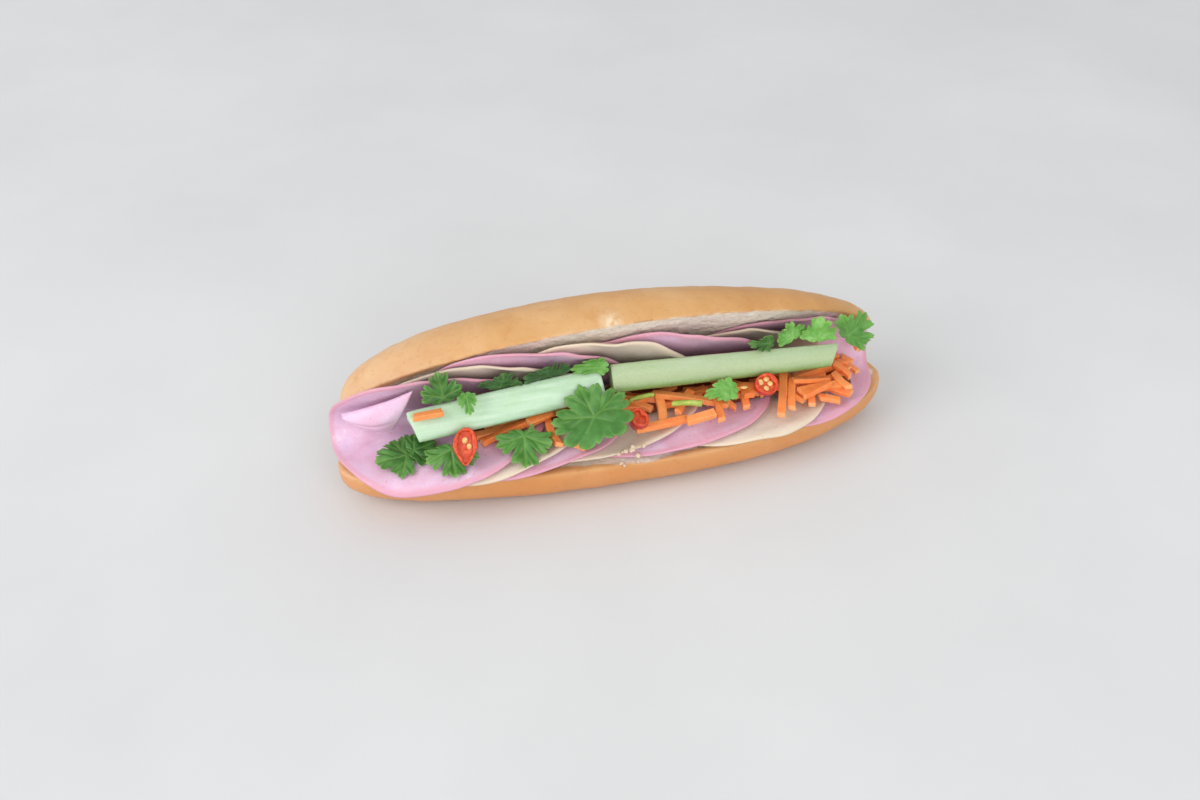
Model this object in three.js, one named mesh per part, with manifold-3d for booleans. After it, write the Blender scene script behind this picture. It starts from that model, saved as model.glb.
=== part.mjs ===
// A banh mi sandwich: a crusty roll cut open from the front, its two halves joined along the back,
// filled with shingled slices of ham and pork roll, cucumber batons, carrot shreds, chilli and coriander.
// Millimetres, +Z up, +X along the roll, -Y towards the open front, origin under the middle of the whole.

import * as THREE from 'three';
import { mergeVertices } from 'three/addons/utils/BufferGeometryUtils.js';
import Module from 'manifold-3d';

const wasm = await Module();
wasm.setup();

const degrees = THREE.MathUtils.degToRad;
const clamp = THREE.MathUtils.clamp;
const lerp = THREE.MathUtils.lerp;

// ---------------------------------------------------------------- driving dimensions

const CUT_HEIGHT = 17.5;         // the lower half's cut face above the table
const HINGE_Y = 23;              // where both cut faces would meet
const GAPE = degrees(60);        // between the cut faces
const ROLL_STATIONS = 26;
const CRUST_POINTS = 20;

// Both halves lie closed here, cut face on cut face. widestX is where the plan is widest; its exponent is 2
// for an ellipse and more for a blunter end. The section's exponent is the same for its curve. The tapers
// say how fast the height falls with the width towards the tips, thinning how much it falls to the right.
const LOWER_HALF = {
  leftX: -113, rightX: 113.8, widestX: 10, planExponent: 2.14,
  halfWidth: 30.9, axisY: 2, leftTipY: -2, rightTipY: 5,
  height: -19.1, sectionExponent: 2.95, leftTaper: 0.45, rightTaper: 0.45, thinning: 0,
};
const UPPER_HALF = {
  leftX: -108.5, rightX: 111.4, widestX: 7.5, planExponent: 1.75,
  halfWidth: 33.4, axisY: -1, leftTipY: 8, rightTipY: 2,
  height: 25.1, sectionExponent: 2.2, leftTaper: 0.64, rightTaper: 0.68, thinning: 0.002,
};

const FOLD_RADIUS = 12;          // of the lowest slice, where it turns up the other cut face
const SLICE_THICKNESS = 1.4;
const SLICE_PITCH = 2.1;         // from one slice to the next in the stack
const SLICE_CLEARANCE = 0.5;     // under the lowest slice
const SLICE_LEAD = 3;            // a slice has climbed this far before it reaches its neighbour's edge
const SLICE_RAMP = 18;           // the length of that climb
const SLICE_COLUMNS = 11;
const SLICE_ROUNDNESS = 2.4;     // of the discs' outline, 2 for an ellipse and more for a fuller one
const RIM_DROOP = 0.07;          // per mm, how fast a slice sags past the crust's rim

const GAP = 0.35;                // between things that lie on each other
const SHRED_WIDTH = 3.6;
const SHRED_THICKNESS = 2.8;
const LEAF_THICKNESS = 0.6;
const UNDER_BATONS = 31;         // what is higher than this doesn't carry the carrot heap

// ---------------------------------------------------------------- colours

const COLOURS = {
  crust: { color: 0xd9ad77, roughness: 0.6 },
  ham: { color: 0xe0b4c8, roughness: 0.4 },
  porkRoll: { color: 0xd6c4a8, roughness: 0.45 },
  cucumber: { color: 0xc4dcb6, roughness: 0.35 },
  carrot: { color: 0xe48a4a, roughness: 0.45 },
  chilli: { color: 0xc23a24, roughness: 0.3 },
  coriander: { color: 0x5f8f45, roughness: 0.5 },
};

function piece(name, geometry, look) {
  const merged = mergeVertices(bare(geometry));
  merged.computeVertexNormals();
  const mesh = new THREE.Mesh(merged, new THREE.MeshStandardMaterial({ ...look, metalness: 0 }));
  mesh.name = name;
  return mesh;
}

// ---------------------------------------------------------------- mesh helpers

// Keeps only the positions, so that shared vertices can be merged.
function bare(geometry) {
  const clean = new THREE.BufferGeometry();
  clean.setAttribute('position', geometry.getAttribute('position').clone());
  if (geometry.index) clean.setIndex(geometry.index.clone());
  return clean;
}

// Six times the signed volume tells whether the faces point out.
function facesOut(points, triangles) {
  let sum = 0;
  for (const [a, b, c] of triangles) sum += points[a].dot(points[b].clone().cross(points[c]));
  return sum > 0;
}

// A closed geometry from points and triangles: equal points are merged, collapsed triangles are dropped.
function closedGeometry(points, triangles) {
  const firstAt = new Map();
  const kept = points.map((point, index) => {
    const key = point.toArray().map((value) => Math.round(value * 2000)).join();
    if (!firstAt.has(key)) firstAt.set(key, index);
    return firstAt.get(key);
  });
  const whole = triangles
    .map((triangle) => triangle.map((corner) => kept[corner]))
    .filter(([a, b, c]) => a !== b && b !== c && c !== a);
  const outward = facesOut(points, whole) ? whole : whole.map(([a, b, c]) => [a, c, b]);
  const geometry = new THREE.BufferGeometry().setFromPoints(points);
  geometry.setIndex(outward.flat());
  return mergeVertices(geometry.toNonIndexed());
}

// A closed solid through rings of equal length; its ends are closed by fans to their middles.
function loft(rings) {
  const count = rings[0].length;
  const points = rings.flat();
  const triangles = [];
  for (let ring = 0; ring + 1 < rings.length; ring += 1) {
    for (let side = 0; side < count; side += 1) {
      const a = ring * count + side;
      const b = ring * count + ((side + 1) % count);
      triangles.push([a, b, b + count], [a, b + count, a + count]);
    }
  }
  const middleOf = (ring) => ring.reduce((sum, p) => sum.add(p), new THREE.Vector3()).divideScalar(count);
  const last = (rings.length - 1) * count;
  points.push(middleOf(rings[0]), middleOf(rings.at(-1)));
  for (let side = 0; side < count; side += 1) {
    const next = (side + 1) % count;
    triangles.push([next, side, points.length - 2], [last + side, last + next, points.length - 1]);
  }
  return closedGeometry(points, triangles);
}

// A closed thin solid between two faces over one grid, both split alike.
function sheet(columns, rows, underside, topside) {
  const points = [];
  for (const face of [underside, topside]) {
    for (let i = 0; i <= columns; i += 1) {
      for (let j = 0; j <= rows; j += 1) points.push(face(i, j));
    }
  }
  const half = points.length / 2;
  const at = (i, j) => i * (rows + 1) + j;
  const triangles = [];
  for (let i = 0; i < columns; i += 1) {
    for (let j = 0; j < rows; j += 1) {
      const [a, b, c, d] = [at(i, j), at(i + 1, j), at(i + 1, j + 1), at(i, j + 1)];
      triangles.push([a, c, b], [a, d, c]);
      triangles.push([a + half, b + half, c + half], [a + half, c + half, d + half]);
    }
  }
  const rim = [];
  for (let i = 0; i < columns; i += 1) rim.push(at(i, 0));
  for (let j = 0; j < rows; j += 1) rim.push(at(columns, j));
  for (let i = columns; i > 0; i -= 1) rim.push(at(i, rows));
  for (let j = rows; j > 0; j -= 1) rim.push(at(0, j));
  rim.forEach((a, index) => {
    const b = rim[(index + 1) % rim.length];
    triangles.push([a, b, b + half], [a, b + half, a + half]);
  });
  return closedGeometry(points, triangles);
}

function toSolid(geometry) {
  const merged = mergeVertices(bare(geometry));
  return new wasm.Manifold(new wasm.Mesh({
    numProp: 3,
    vertProperties: new Float32Array(merged.getAttribute('position').array),
    triVerts: new Uint32Array(merged.index.array),
  }));
}

function fromSolid(solid) {
  const mesh = solid.getMesh();
  const geometry = new THREE.BufferGeometry();
  geometry.setAttribute('position', new THREE.BufferAttribute(new Float32Array(mesh.vertProperties), 3));
  geometry.setIndex([...mesh.triVerts]);
  return geometry;
}

function joined(geometries) {
  return fromSolid(geometries.map(toSolid).reduce((whole, next) => whole.add(next)));
}

// How far round a point the ground under it is looked at.
const RIGID_REACH = 0.9;
const LEAF_REACH = 1.8;
const STRAND_REACH = 2.9;
const BED_REACH = 5;

// The highest surface over each square millimetre, for laying things on what is already there.
class Ground {
  constructor() {
    this.heights = new Map();
  }

  add(geometry, ceiling = Infinity) {
    const flat = geometry.index ? geometry.toNonIndexed() : geometry;
    const position = flat.getAttribute('position');
    const corner = [0, 1, 2].map(() => new THREE.Vector3());
    for (let index = 0; index < position.count; index += 3) {
      corner.forEach((point, k) => point.fromBufferAttribute(position, index + k));
      if (Math.max(...corner.map((point) => point.z)) < ceiling) this.addTriangle(corner);
    }
  }

  addTriangle([a, b, c]) {
    const area = (b.x - a.x) * (c.y - a.y) - (c.x - a.x) * (b.y - a.y);
    if (Math.abs(area) < 1e-9) return;
    const slack = 0.05;            // keeps the points on a shared edge
    for (let x = Math.floor(Math.min(a.x, b.x, c.x)); x <= Math.ceil(Math.max(a.x, b.x, c.x)); x += 1) {
      for (let y = Math.floor(Math.min(a.y, b.y, c.y)); y <= Math.ceil(Math.max(a.y, b.y, c.y)); y += 1) {
        const v = ((x - a.x) * (c.y - a.y) - (c.x - a.x) * (y - a.y)) / area;
        const w = ((b.x - a.x) * (y - a.y) - (x - a.x) * (b.y - a.y)) / area;
        if (v < -slack || w < -slack || v + w > 1 + slack) continue;
        const key = `${x},${y}`;
        const z = a.z + v * (b.z - a.z) + w * (c.z - a.z);
        this.heights.set(key, Math.max(this.heights.get(key) ?? -Infinity, z));
      }
    }
  }

  highest(x, y, reach) {
    let top = -Infinity;
    for (let u = Math.floor(x - reach); u <= Math.ceil(x + reach); u += 1) {
      for (let v = Math.floor(y - reach); v <= Math.ceil(y + reach); v += 1) {
        top = Math.max(top, this.heights.get(`${u},${v}`) ?? -Infinity);
      }
    }
    return top;
  }

  // Moves a rigid geometry up or down until it rests here.
  settle(geometry) {
    const position = geometry.getAttribute('position');
    let lift = -Infinity;
    for (let index = 0; index < position.count; index += 1) {
      const under = this.highest(position.getX(index), position.getY(index), RIGID_REACH);
      lift = Math.max(lift, under + GAP - position.getZ(index));
    }
    return geometry.translate(0, 0, lift);
  }
}

// ---------------------------------------------------------------- the roll

// How far x is from the widest place to the tip, from 0 to 1.
function towardsTip(half, x) {
  const span = x < half.widestX ? half.leftX - half.widestX : half.rightX - half.widestX;
  return clamp((x - half.widestX) / span, 0, 1);
}

function widthShare(half, x) {
  return (1 - towardsTip(half, x) ** half.planExponent) ** (1 / half.planExponent);
}

function axisAt(half, x) {
  const tipY = x < half.widestX ? half.leftTipY : half.rightTipY;
  return lerp(half.axisY, tipY, towardsTip(half, x) ** 3);
}

function heightAt(half, x) {
  const taper = x < half.widestX ? half.leftTaper : half.rightTaper;
  return half.height * (1 - half.thinning * x) * widthShare(half, x) ** taper;
}

// One half of the roll as a closed solid, flat on its cut face.
function rollHalf(half) {
  const rings = [];
  const lastTurn = 0.497 * Math.PI;       // just short of a point, so that the tip is a small facet
  for (let station = 0; station <= ROLL_STATIONS; station += 1) {
    const sweep = Math.sin(lerp(-lastTurn, lastTurn, station / ROLL_STATIONS));
    const x = half.widestX + Math.abs(sweep) * ((sweep < 0 ? half.leftX : half.rightX) - half.widestX);
    const halfWidth = half.halfWidth * widthShare(half, x);
    const height = heightAt(half, x);
    const ring = [];
    for (let k = 0; k <= CRUST_POINTS; k += 1) {
      const turn = (Math.PI * k) / CRUST_POINTS;
      const across = Math.sign(Math.cos(turn)) * Math.abs(Math.cos(turn)) ** (2 / half.sectionExponent);
      const up = Math.sin(turn) ** (2 / half.sectionExponent);
      ring.push(new THREE.Vector3(x, axisAt(half, x) + halfWidth * across, CUT_HEIGHT + height * up));
    }
    rings.push(ring);
  }
  return loft(rings);
}

function roll() {
  const upper = rollHalf(UPPER_HALF);
  upper.translate(0, -HINGE_Y, -CUT_HEIGHT).rotateX(-GAPE).translate(0, HINGE_Y, CUT_HEIGHT);
  const lower = rollHalf(LOWER_HALF);
  const table = new THREE.BoxGeometry(400, 200, 40).translate(0, 0, -20);
  return fromSolid(toSolid(lower).add(toSolid(upper)).subtract(toSolid(table)));
}

// ---------------------------------------------------------------- the slices

const WEDGE = GAPE / 2;
const FOLD_CENTRE = {
  y: HINGE_Y - FOLD_RADIUS / Math.tan(WEDGE),
  z: CUT_HEIGHT + FOLD_RADIUS,
};
const FOLD_TURN = Math.PI - GAPE;
const FOLD_HALF = (FOLD_TURN * FOLD_RADIUS) / 2;

// A point of the folded stack: q runs from the front over the lower cut face, round the fold and up
// the other face; offset is the distance from the bread.
function folded(x, q, offset) {
  const turn = clamp((q + FOLD_HALF) / FOLD_RADIUS, 0, FOLD_TURN);
  const radius = FOLD_RADIUS - offset;
  let y = FOLD_CENTRE.y + radius * Math.sin(turn);
  let z = FOLD_CENTRE.z - radius * Math.cos(turn);
  if (q < -FOLD_HALF) y += q + FOLD_HALF;
  if (q > FOLD_HALF) {
    y -= (q - FOLD_HALF) * Math.cos(GAPE);
    z += (q - FOLD_HALF) * Math.sin(GAPE);
  }
  return new THREE.Vector3(x, y, z);
}

// How far a point lies outside the lower half's rim, seen from above.
function outsideRim(x, y) {
  const reach = (x < LOWER_HALF.widestX ? LOWER_HALF.leftX : LOWER_HALF.rightX) - LOWER_HALF.widestX;
  const u = (x - LOWER_HALF.widestX) / reach;
  const v = (y - axisAt(LOWER_HALF, x)) / LOWER_HALF.halfWidth;
  const far = Math.hypot(u, v);
  if (far <= 1) return 0;
  return ((far - 1) * far) / Math.hypot(u / reach, v / LOWER_HALF.halfWidth);
}

// Left slices lie over right ones; x is the middle, q the middle and both half sizes of each disc.
const SLICES = [
  { name: 'ham_slice_1', look: COLOURS.ham, x: -71, halfX: 43.2, q: -2.75, halfQ: 41.25 },
  { name: 'pork_roll_slice_1', look: COLOURS.porkRoll, x: -53, halfX: 43.5, q: -1, halfQ: 42 },
  { name: 'ham_slice_2', look: COLOURS.ham, x: -36.5, halfX: 45.5, q: 1, halfQ: 43.5 },
  { name: 'pork_roll_slice_2', look: COLOURS.porkRoll, x: -9, halfX: 44.5, q: 1, halfQ: 43 },
  { name: 'ham_slice_3', look: COLOURS.ham, x: 17, halfX: 48, q: -0.75, halfQ: 43.25 },
  { name: 'pork_roll_slice_3', look: COLOURS.porkRoll, x: 45.5, halfX: 44, q: -4, halfQ: 39.5 },
  { name: 'ham_slice_4', look: COLOURS.ham, x: 66, halfX: 44.5, q: -1, halfQ: 37 },
];

// How far a point lies from the middle of a disc: 1 at its rim.
function discReach(along, across) {
  return (Math.abs(along) ** SLICE_ROUNDNESS + Math.abs(across) ** SLICE_ROUNDNESS) ** (1 / SLICE_ROUNDNESS);
}

const FLAT_ROWS = 5;             // of facets on each side of the fold
const FOLD_ROWS = 5;             // round the fold

// Where the rows of a disc's facets lie: closer together towards its rim.
function sliceRows({ q, halfQ }) {
  const front = Math.acos((q + FOLD_HALF) / halfQ);
  const top = Math.acos((FOLD_HALF - q) / halfQ);
  const rows = [];
  for (let k = 0; k < FLAT_ROWS; k += 1) rows.push(q - halfQ * Math.cos((front * k) / FLAT_ROWS));
  for (let k = 0; k <= FOLD_ROWS; k += 1) rows.push(FOLD_HALF * lerp(-1, 1, k / FOLD_ROWS));
  for (let k = FLAT_ROWS - 1; k >= 0; k -= 1) rows.push(q + halfQ * Math.cos((top * k) / FLAT_ROWS));
  return rows;
}

// 1 over a slice and to its right, falling to 0 outside its left edge.
function climb(slice, x, q) {
  const across = (q - slice.q) / slice.halfQ;
  const along = Math.min(x - slice.x, 0) / slice.halfX;
  const outside = (discReach(along, across) - 1) * slice.halfQ;
  return 1 - THREE.MathUtils.smoothstep(outside, SLICE_LEAD, SLICE_LEAD + SLICE_RAMP);
}

// The underside of a slice above the bread, from the slices that it lies over.
function sliceOffset(index, x, q) {
  let offset = SLICE_CLEARANCE;
  for (const under of SLICES.slice(index + 1)) offset += SLICE_PITCH * climb(under, x, q);
  return offset;
}

function slicePoint(x, q, offset) {
  const point = folded(x, q, offset);
  if (q < 0) {
    const past = outsideRim(x, point.y);
    point.z -= RIM_DROOP * past * past;
  }
  return point;
}

function slice(index) {
  const { x, halfX, q, halfQ } = SLICES[index];
  const rows = sliceRows(SLICES[index]);
  const surface = (lift) => (i, j) => {
    const across = Math.min(Math.abs(rows[j] - q) / halfQ, 1);
    const reach = halfX * (1 - across ** SLICE_ROUNDNESS) ** (1 / SLICE_ROUNDNESS);
    const xHere = x + reach * lerp(-1, 1, i / SLICE_COLUMNS);
    return slicePoint(xHere, rows[j], sliceOffset(index, xHere, rows[j]) + lift);
  };
  return sheet(SLICE_COLUMNS, rows.length - 1, surface(0), surface(SLICE_THICKNESS));
}

const SLICE_MARGIN = 3;          // round a disc, where a leaf still keeps clear of it

// Moves a point to the front until it is that far clear of the upper cut face and of the slices on it.
function clearOfUpperSlices(point, clearance) {
  const back = HINGE_Y - point.y;
  const up = point.z - CUT_HEIGHT;
  const offset = back * Math.sin(GAPE) - up * Math.cos(GAPE);
  const q = back * Math.cos(GAPE) + up * Math.sin(GAPE) - FOLD_RADIUS / Math.tan(WEDGE) + FOLD_HALF;
  const tops = SLICES.map((slice, index) => {
    const along = (point.x - slice.x) / (slice.halfX + SLICE_MARGIN);
    const away = discReach(along, (q - slice.q) / (slice.halfQ + SLICE_MARGIN));
    return away < 1 ? sliceOffset(index, point.x, q) + SLICE_THICKNESS : 0;
  });
  point.y -= Math.max(0, Math.max(...tops) + clearance - offset) / Math.sin(GAPE);
}

// ---------------------------------------------------------------- the ham folded over at the left end

// It widens from the left tip to a slanting right edge, a little hollow behind its belly.
const HAM_FLAP = {
  columns: 7,
  rows: 6,
  top: [[-108.5, 7, 35.2], [-97, 1.5, 39.5], [-81, -3, 49]],
  foot: [[-108.5, 7, 34], [-101, 4, 24.5], [-90.4, 1.5, 28]],
  belly: 3.5,
};

function curveThrough(corners) {
  return new THREE.QuadraticBezierCurve3(...corners.map((xyz) => new THREE.Vector3(...xyz)));
}

function hamFlap() {
  const top = curveThrough(HAM_FLAP.top);
  const foot = curveThrough(HAM_FLAP.foot);
  const surface = (lift) => (i, j) => {
    const u = i / HAM_FLAP.columns;
    const v = j / HAM_FLAP.rows;
    const point = top.getPoint(u).lerp(foot.getPoint(u), v);
    point.y -= HAM_FLAP.belly * Math.sin(Math.PI * v) * Math.sin(Math.PI * lerp(0.15, 0.85, u)) + lift;
    return point;
  };
  return sheet(HAM_FLAP.columns, HAM_FLAP.rows, surface(0), surface(SLICE_THICKNESS));
}

// ---------------------------------------------------------------- cucumber

// Each baton is a stick split from a cucumber: a flat pale face to the front, the skin's curve below it.
const BATONS = [
  {
    name: 'cucumber_baton_left', from: [-83, -9.5, 36], to: [-9.5, -7.2, 42.2],
    width: 12.6, depth: 9.5, thinning: 0, slantFrom: 1.5, slantTo: 0.5,
  },
  {
    name: 'cucumber_baton_right', from: [-5.5, -6.2, 42.6], to: [86.5, -6.4, 38],
    width: 11.4, depth: 9, thinning: 0.17, slantFrom: 0, slantTo: -2,
  },
];
const BATON_TILT = degrees(40);   // the flat face from upright
const BATON_STATIONS = 8;

// The section's corners as fractions of width (up the flat face) and depth (out of it).
const BATON_SECTION = [
  [0.46, 0.42], [0.5, 0.2], [0.42, -0.3], [0.2, -0.5], [-0.15, -0.46],
  [-0.38, -0.24], [-0.5, 0.06], [-0.47, 0.3], [-0.3, 0.46], [0.1, 0.5],
];

function baton({ from, to, width, depth, thinning, slantFrom, slantTo }) {
  const start = new THREE.Vector3(...from);
  const end = new THREE.Vector3(...to);
  const upFace = new THREE.Vector3(0, Math.sin(BATON_TILT), Math.cos(BATON_TILT));
  const outFace = new THREE.Vector3(0, -Math.cos(BATON_TILT), Math.sin(BATON_TILT));
  const rings = [];
  for (let station = 0; station <= BATON_STATIONS; station += 1) {
    const along = station / BATON_STATIONS;
    const centre = start.clone().lerp(end, along);
    const swell = lerp(0.9, 1, Math.sin(Math.PI * lerp(0.15, 0.9, along))) * (1 - thinning * along);
    const slant = lerp(slantFrom, slantTo, along);
    rings.push(BATON_SECTION.map(([up, out]) => {
      const corner = centre.clone()
        .addScaledVector(upFace, up * width * swell)
        .addScaledVector(outFace, out * depth * swell);
      if (along === 0 || along === 1) corner.x -= slant * 2 * up;
      return corner;
    }));
  }
  return loft(rings);
}

// ---------------------------------------------------------------- carrot

// The bed that the batons lie on: a long low mound of packed shreds over the slices.
const BED = {
  fromX: -66, toX: 97, middleY: -4.9, halfWidth: 7.4, columns: 15, rows: 6,
  underBaton: 8,                 // its crest below the middle of a baton
  lift: 0.5,                     // above the slices
  edge: 1.2,                     // its thickness at the rim
};

function batonHeight(x) {
  const [left, right] = BATONS.map(({ from, to }) => {
    const along = (x - from[0]) / (to[0] - from[0]);
    return lerp(from[2], to[2], along);
  });
  return x < BATONS[1].from[0] ? left : right;
}

function carrotBed(ground) {
  const surface = (top) => (i, j) => {
    const x = lerp(BED.fromX, BED.toX, i / BED.columns);
    const across = lerp(-1, 1, j / BED.rows);
    const narrowing = Math.sqrt(Math.max(1 - Math.abs(lerp(-1, 1, i / BED.columns)) ** 6, 0.12));
    const y = BED.middleY + BED.halfWidth * narrowing * across;
    const floor = ground.highest(x, y, BED_REACH) + BED.lift;
    if (!top) return new THREE.Vector3(x, y, floor);
    const crest = Math.max(batonHeight(x) - BED.underBaton, floor + BED.edge);
    const rise = (1 - Math.abs(across) ** 4) * narrowing;
    return new THREE.Vector3(x, y, lerp(floor + BED.edge, crest, rise));
  };
  return sheet(BED.columns, BED.rows, surface(false), surface(true));
}

// Each shred of the heap: x and y of both ends seen from above.
const BED_SHREDS = [
  [-31.5, -10, -29.5, -23], [-58, -14, -30.5, -9.5],
  [27, -8, 19, -17], [37, -8, 43, -17], [49, -9.5, 47, -18],
  [85, -2, 98, 3], [90, 6, 96, -4], [84, 3, 95, 6], [98, 3, 102, -1],
  [62, -9, 72, -17], [77, -9, 74, -20], [81, -10, 93, -15], [78, -17, 87, -18], [70, -15, 89, -13],
  [13.5, -8, 12, -20], [0.5, -23, 22, -20], [11.5, -8.5, 40, -16.5], [35.5, -15, 34.6, -24.5],
  [45, -11, 52, -15],
  [69.5, -8.5, 64.5, -22], [68.5, -11, 85, -9.5], [70.5, -18.5, 83.5, -13.5], [66.5, -5.5, 59.5, -24],
  [71.5, -6.5, 96, -0.5], [90, -2.5, 94.5, -9], [88, -6.5, 90.5, -17],
];

const LOOSE_SHREDS = [
  { name: 'carrot_shred_front', line: [-25, -22.5, -20, -25] },
  { name: 'carrot_shred_low', line: [20.5, -24.5, 31.6, -24] },
];
const SHRED_ON_BATON = { name: 'carrot_shred_on_cucumber', line: [-82.5, -13, -71.5, -12.6] };
const STRAND_STATIONS = 4;
const STRAND_END = 0.8;          // how wide its ends are
const SHRED_SINK = 1.3;          // how deep a shred beds into the heap

// A stiff strand that bridges from end to end over the highest things between them. Its section's corners
// are distances to the side and up from its underside.
function strand([x1, y1, x2, y2], section, heightAt) {
  const across = new THREE.Vector2(y1 - y2, x2 - x1).normalize();
  const steps = Array.from({ length: STRAND_STATIONS + 1 }, (_, k) => k / STRAND_STATIONS);
  const rest = steps.map((t) => heightAt(lerp(x1, x2, t), lerp(y1, y2, t)));
  const straight = (t) => lerp(rest[0], rest.at(-1), t);
  const bows = steps.slice(1, -1).map((t, k) => (rest[k + 1] - straight(t)) / (4 * t * (1 - t)));
  const bow = Math.max(0, ...bows);
  return loft(steps.map((t) => {
    const taper = t === 0 || t === 1 ? STRAND_END : 1;
    const under = straight(t) + bow * 4 * t * (1 - t);
    return section.map(([side, up]) => new THREE.Vector3(
      lerp(x1, x2, t) + across.x * side * taper,
      lerp(y1, y2, t) + across.y * side * taper,
      under + up,
    ));
  }));
}

const SHRED_SECTION = [
  [-SHRED_WIDTH / 2, 0], [SHRED_WIDTH / 2, 0],
  [SHRED_WIDTH / 2, SHRED_THICKNESS], [-SHRED_WIDTH / 2, SHRED_THICKNESS],
];

function laidStrand(line, section, ground) {
  return strand(line, section, (x, y) => ground.highest(x, y, STRAND_REACH) + GAP);
}

function carrotHeap(ground) {
  const bed = carrotBed(ground);
  const heap = new Ground();
  heap.add(bed);
  const parts = [bed];
  for (const line of BED_SHREDS) {
    const strip = strand(line, SHRED_SECTION, (x, y) => {
      const clear = ground.highest(x, y, STRAND_REACH) + GAP;
      return Math.max(clear, heap.highest(x, y, RIGID_REACH) - SHRED_SINK);
    });
    parts.push(strip);
    heap.add(strip);
  }
  return joined(parts);
}

// ---------------------------------------------------------------- chilli

// A slice across a chilli: a wall round a thin web that carries the seeds.
const CHILLI_SLICES = [
  {
    name: 'chilli_slice_1', at: [-65, -20.6], half: [4.8, 7.4], height: 3,
    heading: -10, tilt: 42, point: 0.45,
  },
  {
    name: 'chilli_slice_2', at: [2, -19.8], half: [3.6, 4.2], height: 5.5,
    heading: 20, tilt: 25, point: 0,
  },
  {
    name: 'chilli_slice_3', at: [55.2, -15], half: [5, 4.5], height: 3,
    heading: 10, tilt: 32, point: 0,
  },
];
const CHILLI_WALL = 1.6;
const CHILLI_SIDES = 14;
const CHILLI_WEB = { inset: 0.4, under: 2.6, thickness: 1.2 };     // under the slice's upper rim
const CHILLI_SEED = { radius: 1.1, under: 1.2, turns: [-103, 11, 126] };

function chilliRing(halfX, halfY, point) {
  const ring = [];
  for (let k = 0; k < CHILLI_SIDES; k += 1) {
    const angle = (Math.PI * 2 * k) / CHILLI_SIDES;
    const narrowing = 1 - point * Math.max(-Math.sin(angle), 0);
    ring.push(new THREE.Vector2(halfX * Math.cos(angle) * narrowing, halfY * Math.sin(angle)));
  }
  return ring;
}

function extruded(outline, hole, depth) {
  const shape = new THREE.Shape(outline);
  if (hole) shape.holes.push(new THREE.Path(hole));
  return new THREE.ExtrudeGeometry(shape, { depth, bevelEnabled: false });
}

function chilliSlice({ half, height, point, heading, tilt, at }, ground) {
  const [halfX, halfY] = half;
  const outer = chilliRing(halfX, halfY, point);
  const inner = chilliRing(halfX - CHILLI_WALL, halfY - CHILLI_WALL, point);
  const rim = chilliRing(halfX - CHILLI_WEB.inset, halfY - CHILLI_WEB.inset, point);
  const web = extruded(rim, null, CHILLI_WEB.thickness).translate(0, 0, height - CHILLI_WEB.under);
  const reach = Math.min(halfX, halfY) - CHILLI_WALL - CHILLI_SEED.radius;
  const seeds = CHILLI_SEED.turns.map(degrees).map((turn) => {
    const seed = new THREE.IcosahedronGeometry(CHILLI_SEED.radius, 0).scale(1, 0.8, 0.7);
    return seed.translate(reach * Math.cos(turn), reach * Math.sin(turn), height - CHILLI_SEED.under);
  });
  const whole = joined([extruded(outer, inner, height), web, ...seeds]);
  whole.rotateZ(degrees(heading)).rotateX(degrees(tilt)).translate(...at, 0);
  return ground.settle(whole);
}

// ---------------------------------------------------------------- coriander

const WAVE_TURN = 1.9;           // radians of ripple from one point of the outline to the next
const LOBES = [-68, 0, 68].map(degrees);
const LOBE_HALF_SPAN = degrees(34);
const LOBE_SIZE = [0.9, 1, 0.9];
const LOBE_LENGTH = 0.62;        // of the leaf's length
const LOBE_ARCH = 0.12;          // how much a lobe falls off to its sides
const LOBE_CUT = 0.4;            // how deep the cuts between the lobes are
const TOOTH_DEPTH = 0.12;
const TEETH = [-1, -2 / 3, -1 / 3, 0, 1 / 3, 2 / 3];
const LEAF_BASE = [[128, 0.32], [180, 0.12], [232, 0.32]];   // angle and radius round the stalk
const FULL_BASE = 0.85;          // the largest radius there

// A lobe's reach over its half span, from -1 to 1: three blunt teeth, and a cut on either side.
function lobeReach(s) {
  const arch = 1 - LOBE_ARCH * s * s;
  const teeth = 1 - TOOTH_DEPTH * (1 - Math.sqrt(Math.abs(Math.cos(1.5 * Math.PI * s))));
  const cut = 1 - LOBE_CUT * THREE.MathUtils.smoothstep(Math.abs(s), 0.7, 1);
  return arch * teeth * cut;
}

// The outline of a leaf of length 1 about the middle of its three lobes.
function leafOutline(spread, base) {
  const outline = [];
  LOBES.forEach((middle, lobe) => {
    const steps = lobe === LOBES.length - 1 ? [...TEETH, 1] : TEETH;
    for (const s of steps) outline.push([middle + s * LOBE_HALF_SPAN, LOBE_SIZE[lobe] * lobeReach(s)]);
  });
  for (const [angle, radius] of LEAF_BASE) {
    outline.push([degrees(angle), Math.min(base * radius, FULL_BASE)]);
  }
  return outline.map(([angle, radius]) => new THREE.Vector2(
    radius * Math.sin(angle) * LOBE_LENGTH * spread,
    radius * Math.cos(angle) * LOBE_LENGTH,
  ));
}

const LEAF = { spread: 1, base: 1, tilt: 0, cup: 0.04, wave: 0.05, leans: false };

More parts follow.
